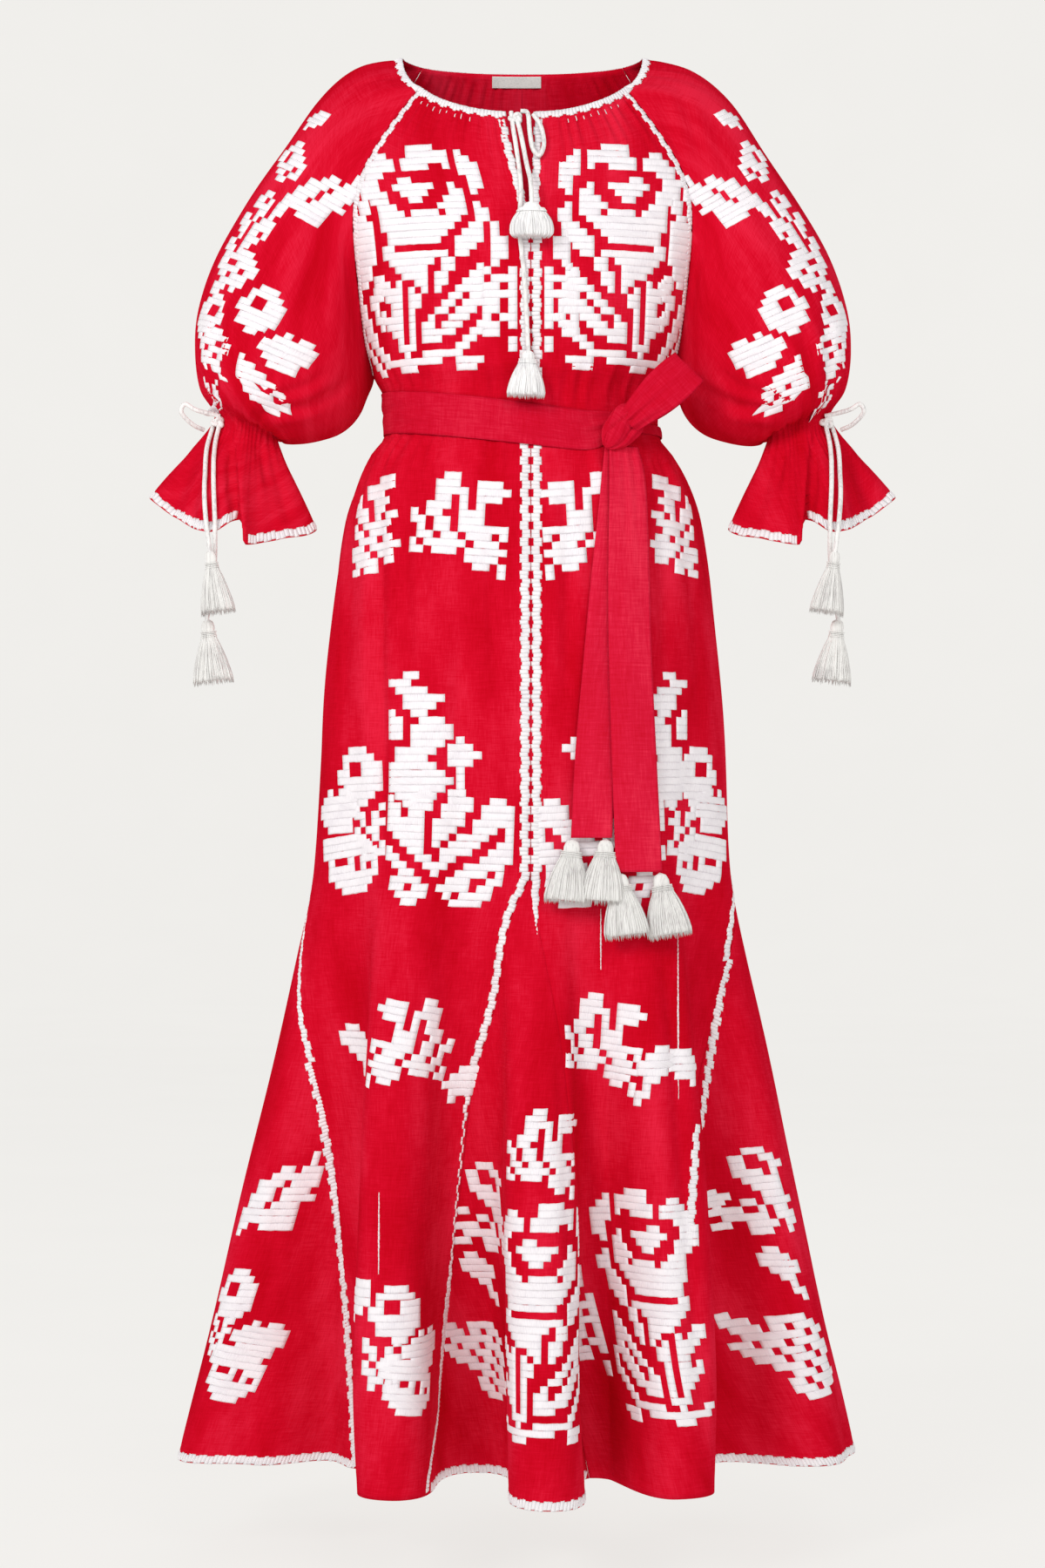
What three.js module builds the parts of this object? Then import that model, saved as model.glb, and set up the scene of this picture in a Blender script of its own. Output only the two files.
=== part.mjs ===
// A long folk dress in red linen, worn pose, hollow: raglan balloon sleeves gathered into frilled cuffs,
// a slit neckline with a drawstring, a tied sash, and a skirt of four long panels with four godets
// (wedges of cloth) let in below the knee. Millimetres, +Z up, the front faces -Y, and left and right
// are the wearer's, so left is +X. The origin is where the shoulders carry the dress: the middle of the
// neck opening, level with its highest points.
//
// The body is a stack of closed courses. Courses 0 to 8 run from the neckline to the armpit and are cut
// through by the raglan seams; below the armpit a course is a full ring at one height. A point on a
// course is named by its angle: 0 is the centre front, 90 the left side, 180 the centre back.

import * as THREE from "three";
import { mergeVertices } from "three/addons/utils/BufferGeometryUtils.js";

// ---- driving sizes ----------------------------------------------------------------------------
const WALL = 1.6; // cloth thickness
const SEAM_GAP = 0.3; // between two pieces that are sewn together
const ARMPIT_Z = -320;
const GODET_TOP_Z = -815;
const GODET_START_Z = -824; // a godet's blunt tip, just under the point where its seams meet
const HEM_Z = -1405;
const YOKE_COURSES = 8; // courses between the neckline and the armpit
const SEAM_COURSES = [0, 0.2, 1, 2, 3, 4, 5, 6, 7, 8]; // where the raglan seams' points are
const RING_STEP = 45; // height of one course below the armpit
const SQUARENESS = 2.2; // superellipse exponent of a course: 2 is an ellipse
const CORD_DIAMETER = 4.5;

const RED = 0xc8102e;
const WHITE = 0xf2f0ee;

// The yoke's courses, front and back: the height and depth of the cloth on the centre line, and the
// point where the course ends at the raglan seam.
const YOKE = {
  front: [
    { centreZ: -70, depth: 85, seamX: 101, seamDepth: 46, seamZ: -38 },
    { centreZ: -108, depth: 103, seamX: 131, seamDepth: 62, seamZ: -80 },
    { centreZ: -145, depth: 116, seamX: 153, seamDepth: 71, seamZ: -117 },
    { centreZ: -178, depth: 124, seamX: 164, seamDepth: 73, seamZ: -148 },
    { centreZ: -207, depth: 127, seamX: 166, seamDepth: 70, seamZ: -180 },
    { centreZ: -234, depth: 125, seamX: 164, seamDepth: 61, seamZ: -213 },
    { centreZ: -264, depth: 119, seamX: 160, seamDepth: 47, seamZ: -254 },
    { centreZ: -293, depth: 113, seamX: 155, seamDepth: 28, seamZ: -292 },
    { centreZ: -320, depth: 108, seamX: 148, seamDepth: 0, seamZ: -320 },
  ],
  back: [
    { centreZ: -2, depth: 72, seamX: 101, seamDepth: 39, seamZ: -2 },
    { centreZ: -48, depth: 88, seamX: 129, seamDepth: 56, seamZ: -48 },
    { centreZ: -92, depth: 100, seamX: 150, seamDepth: 66, seamZ: -92 },
    { centreZ: -135, depth: 108, seamX: 161, seamDepth: 70, seamZ: -134 },
    { centreZ: -174, depth: 112, seamX: 165, seamDepth: 68, seamZ: -172 },
    { centreZ: -211, depth: 111, seamX: 164, seamDepth: 60, seamZ: -210 },
    { centreZ: -248, depth: 106, seamX: 160, seamDepth: 46, seamZ: -250 },
    { centreZ: -285, depth: 98, seamX: 155, seamDepth: 28, seamZ: -290 },
    { centreZ: -320, depth: 90, seamX: 148, seamDepth: 0, seamZ: -320 },
  ],
};

// The rings below the armpit, before the flutes are added: half the width, how far the cloth stands
// in front of the origin and behind it, and how far in front of the origin the ring is widest.
const RINGS = [
  { z: -320, halfWidth: 148, front: 108, back: 90, widest: 0 },
  { z: -340, halfWidth: 138, front: 99, back: 80, widest: 0 },
  { z: -380, halfWidth: 137, front: 97, back: 79, widest: 0 },
  { z: -398, halfWidth: 150, front: 104, back: 88, widest: 0 },
  { z: -430, halfWidth: 165, front: 112, back: 100, widest: 0 },
  { z: -465, halfWidth: 176, front: 118, back: 109, widest: 0 },
  { z: -535, halfWidth: 187, front: 122, back: 118, widest: 0 },
  { z: -640, halfWidth: 198, front: 122, back: 122, widest: -3 },
  { z: -812, halfWidth: 207, front: 108, back: 128, widest: -12 },
  { z: -900, halfWidth: 224, front: 98, back: 136, widest: -24 },
  { z: -1160, halfWidth: 283, front: 66, back: 165, widest: -55 },
  { z: -1405, halfWidth: 338, front: 40, back: 190, widest: -75 },
];

// The flutes of the skirt, each a ridge (or a trough, where the height is negative) that runs from the
// hip to the hem. Spreads are the angles at which the ridge dies away on its two sides, and the leans
// say how far a flank folds over: 0 is a plain wave, 1 an upright flank, above 1 an overhang.
const FLUTES = [
  { name: "front_centre", hipAngle: 3, hemAngle: 3, spread: [8.5, 9], knee: 0, hem: 186, lean: [1.3, 1.3] },
  { name: "front_left", hipAngle: 32, hemAngle: 20.5, spread: [13, 14], knee: 12, hem: 138, lean: [0.2, 1.3] },
  { name: "recess_left", hipAngle: 56, hemAngle: 36, spread: [9, 16], knee: -4, hem: -34, lean: [0, 0] },
  { name: "side_left", hipAngle: 70, hemAngle: 60, spread: [16, 18], knee: 3, hem: 20, lean: [0, 0] },
  { name: "back_side_left", hipAngle: 122, hemAngle: 121, spread: [18, 16], knee: 6, hem: 62, lean: [0.4, 0.6] },
  { name: "back_left", hipAngle: 152, hemAngle: 152, spread: [15, 13], knee: 12, hem: 100, lean: [0.9, 0.8] },
  { name: "back_centre", hipAngle: 181, hemAngle: 181, spread: [14, 13], knee: 0, hem: 118, lean: [1.1, 1] },
  { name: "back_right", hipAngle: 209, hemAngle: 209, spread: [13, 15], knee: 10, hem: 94, lean: [0.8, 0.9] },
  { name: "back_side_right", hipAngle: 238, hemAngle: 240, spread: [16, 18], knee: 6, hem: 58, lean: [0.5, 0.4] },
  { name: "side_right", hipAngle: 294, hemAngle: 290, spread: [20, 18], knee: 3, hem: 27, lean: [0, 0] },
  { name: "recess_right", hipAngle: 306, hemAngle: 325, spread: [15, 9], knee: -4, hem: -44, lean: [0, 0] },
  { name: "front_right", hipAngle: 330, hemAngle: 342.8, spread: [12, 11], knee: 12, hem: 142, lean: [1.3, 0.9] },
];
const FLUTE_START_Z = -400; // where the ridges begin under the sash
const BEND_PULL = 22; // millimetres of cloth that a radian of bend counts for when columns are shared out

// The angles of the seams between the skirt's panels and godets, from the godets' tops to the hem.
const SEAMS = [
  { z: -815, frontLeft: 1.6, sideLeftFront: 90, sideLeftBack: 90, backLeft: 180,
    backRight: 180, sideRightBack: 270, sideRightFront: 270, frontRight: 361.6 },
  { z: -900, frontLeft: 4, sideLeftFront: 64, sideLeftBack: 104, backLeft: 176.5,
    backRight: 183.5, sideRightBack: 256, sideRightFront: 283, frontRight: 355.5 },
  { z: -1000, frontLeft: 6.3, sideLeftFront: 47, sideLeftBack: 122, backLeft: 173.5,
    backRight: 186.5, sideRightBack: 238, sideRightFront: 302, frontRight: 351 },
  { z: -1100, frontLeft: 7.6, sideLeftFront: 38, sideLeftBack: 133, backLeft: 171.5,
    backRight: 188.5, sideRightBack: 227, sideRightFront: 315, frontRight: 350 },
  { z: -1250, frontLeft: 9, sideLeftFront: 33, sideLeftBack: 141, backLeft: 169.5,
    backRight: 190.5, sideRightBack: 219, sideRightFront: 325.5, frontRight: 349.5 },
  { z: -1405, frontLeft: 10.5, sideLeftFront: 31, sideLeftBack: 146, backLeft: 168,
    backRight: 192, sideRightBack: 214, sideRightFront: 331.5, frontRight: 348.3 },
];

// The centre front: how far the seam lies to the wearer's left, and half the width of the slit.
const CENTRE_FRONT = [
  { z: -70, shift: -3, halfSlit: 9.5 },
  { z: -108, shift: 0, halfSlit: 6.5 },
  { z: -145, shift: 4, halfSlit: 2.5 },
  { z: -178, shift: 7, halfSlit: 0 },
  { z: -207, shift: 8, halfSlit: 0 },
  { z: -815, shift: 8, halfSlit: 0 },
];

// The left sleeve's rings, from the armhole to the frill's hem: the outermost and the lowest point of
// each in the front view, its depth before and behind the arm's line, how far that line has come
// forward, and how far the ring has turned from the armhole's shape into a plain oval.
const SLEEVE = [
  { outerX: 120, outerZ: 0, innerX: 148, innerZ: -320, front: 73, back: 70, forward: 0, oval: 0 },
  { outerX: 168, outerZ: -12, innerX: 150, innerZ: -328, front: 74, back: 72, forward: 0, oval: 0.4 },
  { outerX: 207, outerZ: -44, innerX: 154, innerZ: -338, front: 76, back: 75, forward: 1, oval: 0.8 },
  { outerX: 243, outerZ: -98, innerX: 160, innerZ: -354, front: 82, back: 80, forward: 3, oval: 1 },
  { outerX: 277, outerZ: -150, innerX: 170, innerZ: -368, front: 88, back: 84, forward: 5, oval: 1 },
  { outerX: 306, outerZ: -203, innerX: 184, innerZ: -378, front: 91, back: 86, forward: 7, oval: 1 },
  { outerX: 323, outerZ: -255, innerX: 203, innerZ: -384, front: 89, back: 84, forward: 9, oval: 1 },
  { outerX: 326, outerZ: -297, innerX: 222, innerZ: -387, front: 78, back: 74, forward: 11, oval: 1 },
  { outerX: 320, outerZ: -333, innerX: 236, innerZ: -386, front: 58, back: 55, forward: 12, oval: 1 },
  { outerX: 306, outerZ: -356, innerX: 243, innerZ: -380, front: 34, back: 33, forward: 13, oval: 1 },
  { outerX: 310, outerZ: -372, innerX: 241, innerZ: -390, front: 36, back: 34, forward: 14, oval: 1 },
  { outerX: 333, outerZ: -400, innerX: 228, innerZ: -419, front: 52, back: 48, forward: 15, oval: 1 },
  { outerX: 352, outerZ: -420, innerX: 217, innerZ: -443, front: 64, back: 58, forward: 16, oval: 1 },
  { outerX: 370, outerZ: -440, innerX: 207, innerZ: -466, front: 74, back: 66, forward: 17, oval: 1 },
];
const SLEEVE_STATIONS = [0, 0.17, 1, 2, 3, 4, 5, 6, 7, 8, 9, 10, 11, 12, 13]; // where its rings are made
const CUFF_RING = 9; // the gathered ring; the frill hangs below it
const FRILL_WAVES = 5;
const FRILL_RIPPLE = 9; // the waves' height at the frill's hem
const FRILL_PHASE = 0.9; // radians
const FRILL_DROP = 22; // how much lower the frill's hem hangs at the front

// The sash goes round the waist once, a little lower on the wearer's left, where it is tied.
const SASH = { topZ: -354, slope: -0.125, levelFrom: 60, width: 41, cloth: 1.4, off: 1.2 };
const KNOT = { x: 88, z: -379, width: 36, height: 46, thick: 21, off: 0.5, facing: 25, clear: 6.5 };

// The sash's loop, which stands out of the knot and up to the wearer's left: how far each of its
// stations is from the knot, how far in front of the knot's middle, and how wide the cloth is there.
const LOOP = { turn: 33, start: 6.8 }; // degrees above level; how far out of the knot it begins
const LOOP_STATIONS = [
  { out: 13, front: 6, width: 25 },
  { out: 25, front: 9, width: 36 },
  { out: 42, front: 10, width: 43 },
  { out: 60, front: 8, width: 40 },
  { out: 73, front: 5.5, width: 34 },
  { out: 78, front: 0.5, width: 32 },
  { out: 73, front: -4.5, width: 34 },
  { out: 60, front: -5, width: 40 },
  { out: 42, front: -4, width: 43 },
  { out: 25, front: -3, width: 36 },
  { out: 13, front: -2, width: 25 },
];

// The sash's two hanging ends, one in front of the other: how far to the wearer's left the end
// hangs, its width, and how far its inner face stands off the skirt.
const SASH_ENDS = {
  under: [
    { z: -402, x: 90, width: 26, off: 5.5 },
    { z: -430, x: 88, width: 32, off: 4 },
    { z: -520, x: 81, width: 36, off: 4 },
    { z: -620, x: 74, width: 37, off: 4.5 },
    { z: -700, x: 69, width: 37, off: 5 },
    { z: -771, x: 66, width: 37, off: 9 },
  ],
  over: [
    { z: -402.8, x: 95, width: 30, off: 9.5 },
    { z: -430, x: 99, width: 36, off: 9.5 },
    { z: -520, x: 102, width: 40, off: 9.5 },
    { z: -620, x: 103, width: 41, off: 9.5 },
    { z: -720, x: 106, width: 42, off: 10 },
    { z: -807, x: 110, width: 43, off: 13 },
  ],
};

// The bell of a tassel, from its neck down: how far below the neck, and how wide, as shares of the
// tassel's length and of half its width.
const TASSEL = [
  { down: 0, wide: 0.1 },
  { down: 0.03, wide: 0.24 },
  { down: 0.14, wide: 0.36 },
  { down: 0.24, wide: 0.3 },
  { down: 0.4, wide: 0.5 },
  { down: 0.7, wide: 0.8 },
  { down: 1, wide: 1 },
];

// ---- cords and tassels: x and z as seen from the front, and off, how far the middle of the cord
// stands from the cloth behind it (or, at the cuffs, depth: how far it is in front of the origin).
const NECK_CORDS = {
  neck_cord_short: [
    { x: -6.2, z: -76, off: 4.4 },
    { x: -1, z: -100, off: 4.4 },
    { x: 4, z: -130, off: 9 },
    { x: 7.5, z: -149, off: 18 },
    { x: 8.5, z: -163, off: 19 },
  ],
  neck_cord_long: [
    { x: -11, z: -73, off: 4.2 },
    { x: -9, z: -90, off: 2.9 },
    { x: -6, z: -110, off: 2.6 },
    { x: -1.5, z: -150, off: 2.6 },
    { x: -3, z: -190, off: 2.6 },
    { x: 2, z: -240, off: 2.6 },
    { x: 5.5, z: -300, off: 5 },
  ],
  neck_bow: [
    { x: -2, z: -72, off: 4.1 },
    { x: 5, z: -74, off: 3.6 },
    { x: 7, z: -95, off: 5 },
    { x: 10, z: -112, off: 4.6 },
    { x: 16, z: -119, off: 4.6 },
    { x: 20.5, z: -108, off: 4.6 },
    { x: 18, z: -90, off: 4.8 },
    { x: 10.5, z: -76, off: 5 },
  ],
};
const CUFF_CORDS = {
  cuff_cord_short: [
    { x: 305, z: -366, off: 1.2 },
    { x: 311, z: -392, off: 4 },
    { x: 311, z: -422, off: 4 },
    { x: 309.5, z: -450, off: 5 },
    { x: 304, z: -497, off: 5 },
  ],
  cuff_cord_long: [
    { x: 299, z: -367, off: 1.7 },
    { x: 303, z: -392, off: 4 },
    { x: 302, z: -425, off: 4 },
    { x: 299, z: -466, off: 5 },
    { x: 298.5, z: -482, off: 4 },
    { x: 301, z: -515, off: -11 },
    { x: 308, z: -563, off: -9 },
  ],
  cuff_bow: [
    { x: 299, z: -361.5, off: 0.7 },
    { x: 322, z: -356, off: 8 },
    { x: 333, z: -350, off: 10 },
    { x: 337, z: -358, off: 12 },
    { x: 327, z: -369, off: 9 },
    { x: 316, z: -374, off: 5 },
  ],
};
const TASSELS = [
  { name: "neck_tassel_short", on: "neck_cord_short", length: 36, width: 43, lean: 0, flat: 0.42, forward: 2 },
  { name: "neck_tassel_long", on: "neck_cord_long", length: 48, width: 40, lean: -3, flat: 0.5 },
  { name: "cuff_tassel_short", on: "cuff_cord_short", length: 65, width: 35, lean: 3, flat: 0.5 },
  { name: "cuff_tassel_long", on: "cuff_cord_long", length: 66, width: 42, lean: -6, flat: 0.5 },
];
const SASH_TASSEL = { length: 66, width: 36, flat: 0.45, forward: 6 };
const SASH_TASSELS = [
  { name: "sash_tassel_under_right", end: "under", along: -16.5, lean: -11 },
  { name: "sash_tassel_under_left", end: "under", along: 14, lean: -8 },
  { name: "sash_tassel_over_right", end: "over", along: -16, lean: 9 },
  { name: "sash_tassel_over_left", end: "over", along: 20, lean: 10 },
];
const LABEL = { x: -6, top: -0.5, width: 50, height: 11, thick: 0.8 };
const NECK_TRIM = { thick: 1, off: 0.45 };

// ---- small mathematics -------------------------------------------------------------------------
const toRadians = THREE.MathUtils.degToRad;
const toDegrees = THREE.MathUtils.radToDeg;
const vector = (x, y, z) => new THREE.Vector3(x, y, z);
const powerOf = (value, exponent) => Math.sign(value) * Math.abs(value) ** exponent;
const smooth = (t) => t * t * (3 - 2 * t);

// A table's column at a position between its rows, on a smooth curve through them. keys rise or fall.
function curveThrough(keys, values, at) {
  const rising = keys[keys.length - 1] > keys[0];
  const last = keys.length - 2;
  let i = 0;
  while (i < last && (rising ? at > keys[i + 1] : at < keys[i + 1])) i++;
  const span = keys[i + 1] - keys[i];
  const t = THREE.MathUtils.clamp((at - keys[i]) / span, 0, 1);
  const slope = (k) => {
    const a = Math.max(k - 1, 0);
    const b = Math.min(k + 1, keys.length - 1);
    return (values[b] - values[a]) / (keys[b] - keys[a]);
  };
  const h = 1 - t;
  return (
    values[i] * (1 + 2 * t) * h * h +
    slope(i) * span * t * h * h +
    values[i + 1] * t * t * (3 - 2 * t) -
    slope(i + 1) * span * t * t * h
  );
}

// All of a table's columns at a position of one of them, named key, or of the row numbers.
function rowAt(table, at, key) {
  const keys = table.map((row, i) => (key ? row[key] : i));
  const found = {};
  for (const column of Object.keys(table[0]))
    if (typeof table[0][column] === "number")
      found[column] = curveThrough(keys, table.map((row) => row[column]), at);
  return found;
}

// ---- the body's form ---------------------------------------------------------------------------
const heightOf = (course) => ARMPIT_Z - (course - YOKE_COURSES) * RING_STEP;
const courseAt = (z) => YOKE_COURSES + (ARMPIT_Z - z) / RING_STEP;

// The shape of one yoke course: its half width if it ran on round the side, and its seam's angle.
function yokeCourse(face, course) {
  const row = rowAt(YOKE[face], course);
  const reach = Math.min(row.seamDepth / row.depth, 1);
  const halfWidth = row.seamX / (1 - reach ** SQUARENESS) ** (1 / SQUARENESS);
  const seam = Math.atan2((row.seamX / halfWidth) ** (SQUARENESS / 2), reach ** (SQUARENESS / 2));
  return { ...row, halfWidth, seam };
}

const raglanAngle = (face, course) => {
  const seam = toDegrees(yokeCourse(face, course).seam);
  return face === "front" ? seam : 180 - seam;
};

function yokePoint(course, angle) {
  const radians = toRadians(angle);
  const face = Math.cos(radians) >= 0 ? "front" : "back";
  const shape = yokeCourse(face, course);
  const out = Math.abs(Math.cos(radians));
  const x = shape.halfWidth * powerOf(Math.sin(radians), 2 / SQUARENESS);
  const depth = shape.depth * out ** (2 / SQUARENESS);
  const rise = (1 - out) / (1 - Math.cos(shape.seam));
  const z = shape.centreZ + (shape.seamZ - shape.centreZ) * rise;
  return vector(x, face === "front" ? -depth : depth, z);
}

// How far a flute has grown at a height: 0 under the sash, then to the knee's and the hem's heights.
function fluteAt(flute, z) {
  const fall = (z - GODET_TOP_Z) / (HEM_Z - GODET_TOP_Z);
  const below = THREE.MathUtils.clamp(fall, 0, 1);
  const above = THREE.MathUtils.clamp((z - FLUTE_START_Z) / (GODET_TOP_Z - FLUTE_START_Z), 0, 1);
  return {
    angle: flute.hipAngle + (flute.hemAngle - flute.hipAngle) * below,
    widen: 1 + 0.7 * (1 - below), // the ridges are broader where they are low
    height: flute.knee * smooth(above) + (flute.hem - flute.knee) * below ** 1.2,
    lean: below ** 0.5,
  };
}

function plainRing(z, angle) {
  const ring = rowAt(RINGS, z, "z");
  const radians = toRadians(angle);
  const across = powerOf(Math.sin(radians), 2 / SQUARENESS);
  const along = powerOf(Math.cos(radians), 2 / SQUARENESS);
  const reach = along >= 0 ? ring.front - ring.widest : ring.back + ring.widest;
  return vector(ring.halfWidth * across, -(ring.widest + reach * along), z);
}

function ringPoint(z, angle) {
  let turned = angle;
  let out = 0;
  for (const flute of FLUTES) {
    const now = fluteAt(flute, z);
    const away = THREE.MathUtils.euclideanModulo(angle - now.angle + 180, 360) - 180;
    const side = away < 0 ? 0 : 1;
    const spread = flute.spread[side] * now.widen;
    const share = away / spread;
    if (Math.abs(share) >= 1) continue;
    out += (now.height * (1 + Math.cos(Math.PI * share))) / 2;
    turned += (flute.lean[side] * now.lean * spread * Math.sin(2 * Math.PI * share)) / (2 * Math.PI);
  }
  const point = plainRing(z, turned);
  const along = plainRing(z, turned + 0.5).sub(plainRing(z, turned - 0.5));
  return point.addScaledVector(vector(along.y, -along.x, 0).normalize(), out);
}

const bodyPoint = (course, angle) =>
  course < YOKE_COURSES ? yokePoint(course, angle) : ringPoint(heightOf(course), angle);

// The outward direction of the form at a point.
function bodyNormal(course, angle) {
  const up = course < YOKE_COURSES ? Math.max(course - 0.05, 0) : course - 0.05;
  const down = course < YOKE_COURSES ? Math.min(course + 0.05, YOKE_COURSES) : course + 0.05;
  const across = bodyPoint(course, angle + 0.3).sub(bodyPoint(course, angle - 0.3));
  const drop = bodyPoint(down, angle).sub(bodyPoint(up, angle));
  return drop.cross(across).normalize();
}

// The angle on a course at which the cloth is x millimetres to the wearer's left of the middle.
function frontAngleOf(course, x) {
  const halfWidth =
    course < YOKE_COURSES
      ? yokeCourse("front", course).halfWidth
      : rowAt(RINGS, heightOf(course), "z").halfWidth;
  return toDegrees(Math.asin(powerOf(x / halfWidth, SQUARENESS / 2)));
}

// The centre front seam's angle, on the left (+1) or right (-1) edge of the slit.
function centreFrontAngle(course, side) {
  const z = course < YOKE_COURSES ? yokeCourse("front", course).centreZ : heightOf(course);
  const row = rowAt(CENTRE_FRONT, Math.max(z, GODET_TOP_Z), "z");
  return frontAngleOf(course, row.shift + side * Math.max(row.halfSlit, 0));
}

// ---- panels of the body ------------------------------------------------------------------------
// Angles that share out the cloth between two angles of a course, closer together where it bends.
function sharedAngles(course, from, to, columns) {
  const STEPS = 140;
  const angles = Array.from({ length: STEPS + 1 }, (_, i) => from + ((to - from) * i) / STEPS);
  const points = angles.map((angle) => bodyPoint(course, angle));
  const sides = points.slice(1).map((point, i) => point.clone().sub(points[i]));
  const weights = [0];
  for (let i = 1; i <= STEPS; i++) {
    const bend = i > 1 ? sides[i - 1].angleTo(sides[i - 2]) : 0;
    weights.push(weights[i - 1] + sides[i - 1].length() + BEND_PULL * bend);
  }
  const found = [];
  for (let c = 0, i = 0; c <= columns; c++) {
    const wanted = (weights[STEPS] * c) / columns;
    while (i < STEPS - 1 && weights[i + 1] < wanted) i++;
    const share = (wanted - weights[i]) / (weights[i + 1] - weights[i]);
    found.push(THREE.MathUtils.lerp(angles[i], angles[i + 1], share));
  }
  return found;
}

// A panel's grid: for each of its courses a row of {point, normal}, from one seam's angle to the
// other's, held back from both seams by half the gap.
function panelGrid(courses, fromAngle, toAngle, columns) {
  let rows = courses.map((course) => sharedAngles(course, fromAngle(course), toAngle(course), columns));
  for (let pass = 0; pass < 2; pass++) rows = rows.map((row, r) => row.map((_, c) => steadied(rows, r, c)));
  return rows.map((row, r) =>
    row.map((angle, c) => {
      const point = bodyPoint(courses[r], angle);
      const along = bodyPoint(courses[r], angle + 0.2).sub(bodyPoint(courses[r], angle - 0.2)).normalize();
      const inset = (c === 0) - (c === columns);
      point.addScaledVector(along, (inset * SEAM_GAP) / 2);
      return { point, normal: bodyNormal(courses[r], angle) };
    }),
  );
}

// A column's place in a row, drawn towards its places in the rows above and below it.
function steadied(rows, r, c) {
  const share = (row) => (row[c] - row[0]) / (row[row.length - 1] - row[0]);
  const above = share(rows[Math.max(r - 1, 0)]);
  const below = share(rows[Math.min(r + 1, rows.length - 1)]);
  const own = rows[r];
  return THREE.MathUtils.lerp(own[0], own[own.length - 1], (above + 2 * share(own) + below) / 4);
}

// A closed wall between a grid of points and the same grid moved by depths along its normals. Each
// of its quads is split along its shorter diagonal.
function wall(grid, { near = 0, far = -WALL, around = false } = {}) {
  const rows = grid.length;
  const columns = grid[0].length;
  const last = around ? columns : columns - 1;
  const place = ({ point, normal }, depth) => point.clone().addScaledVector(normal, depth);
  const positions = [near, far].flatMap((depth) => grid.flat().flatMap((seat) => place(seat, depth).toArray()));
  const at = (layer, r, c) => (layer * rows + r) * columns + (c % columns);
  const seat = (r, c) => grid[r][c % columns].point;
  const faces = [];
  const quad = (a, b, c, d) => faces.push(a, b, c, a, c, d);
  for (let r = 0; r < rows - 1; r++)
    for (let c = 0; c < last; c++) {
      const falls = seat(r, c).distanceTo(seat(r + 1, c + 1)) < seat(r + 1, c).distanceTo(seat(r, c + 1));
      for (const layer of [0, 1]) {
        const loop = [at(layer, r, c), at(layer, r + 1, c), at(layer, r + 1, c + 1), at(layer, r, c + 1)];
        if (!falls) loop.push(loop.shift());
        quad(...(layer ? [loop[0], loop[3], loop[2], loop[1]] : loop));
      }
    }
  for (let c = 0; c < last; c++) {
    quad(at(0, 0, c), at(0, 0, c + 1), at(1, 0, c + 1), at(1, 0, c));
    quad(at(0, rows - 1, c + 1), at(0, rows - 1, c), at(1, rows - 1, c), at(1, rows - 1, c + 1));
  }
  if (!around)
    for (let r = 0; r < rows - 1; r++) {
      quad(at(0, r + 1, 0), at(0, r, 0), at(1, r, 0), at(1, r + 1, 0));
      quad(at(0, r + 1, last), at(1, r + 1, last), at(1, r, last), at(0, r, last));
    }
  return facingOut(positions, faces);
}

// A geometry whose faces point outwards, whichever way round its triangles were listed.
function facingOut(positions, faces) {
  const corner = (i) => vector(...positions.slice(3 * i, 3 * i + 3));
  let volume = 0;
  for (let i = 0; i < faces.length; i += 3)
    volume += corner(faces[i]).dot(corner(faces[i + 1]).cross(corner(faces[i + 2])));
  if (volume < 0) for (let i = 0; i < faces.length; i += 3) [faces[i], faces[i + 1]] = [faces[i + 1], faces[i]];
  return new THREE.BufferGeometry()
    .setAttribute("position", new THREE.Float32BufferAttribute(positions, 3))
    .setIndex(faces);
}

const seamAngle = (name) => (course) => rowAt(SEAMS, heightOf(course), "z")[name];
const GODET_TOP = courseAt(GODET_TOP_Z);
const HEM = courseAt(HEM_Z);

// An edge of a long panel: one rule in the yoke, one down to the godet's top, and then the godet's seam.
const edge = (yoke, side, seam) => (course) => {
  if (course < YOKE_COURSES) return yoke(course);
  return course <= GODET_TOP ? side(course) : seamAngle(seam)(course);
};
const always = (angle) => () => angle;

const EDGES = {
  frontLeft: edge((c) => centreFrontAngle(c, 1), (c) => centreFrontAngle(c, 1), "frontLeft"),
  frontLeftSide: edge((c) => raglanAngle("front", c), always(90), "sideLeftFront"),
  backLeftSide: edge((c) => raglanAngle("back", c), always(90), "sideLeftBack"),
  backLeft: edge(always(180), always(180), "backLeft"),
  backRight: edge(always(180), always(180), "backRight"),
  backRightSide: edge((c) => 360 - raglanAngle("back", c), always(270), "sideRightBack"),
  frontRightSide: edge((c) => 360 - raglanAngle("front", c), always(270), "sideRightFront"),
  frontRight: edge((c) => 360 + centreFrontAngle(c, -1), (c) => 360 + centreFrontAngle(c, -1), "frontRight"),
  frontLeftOver: (course) => 360 + seamAngle("frontLeft")(course),
};

const yokeCourses = SEAM_COURSES.slice(0, -1);
const trunkCourses = [-320, -340, -360, -380, -398, -414, -430, -480, -560, -660, -740, -815, GODET_START_Z].map(courseAt);
const skirtCourses = [-870, -930, -1000, -1070, -1140, -1210, -1280, -1340, HEM_Z].map(courseAt);
const panelCourses = [...yokeCourses, ...trunkCourses, ...skirtCourses];
const godetCourses = [courseAt(GODET_START_Z), ...skirtCourses];
const PANEL_COLUMNS = 9;

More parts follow.
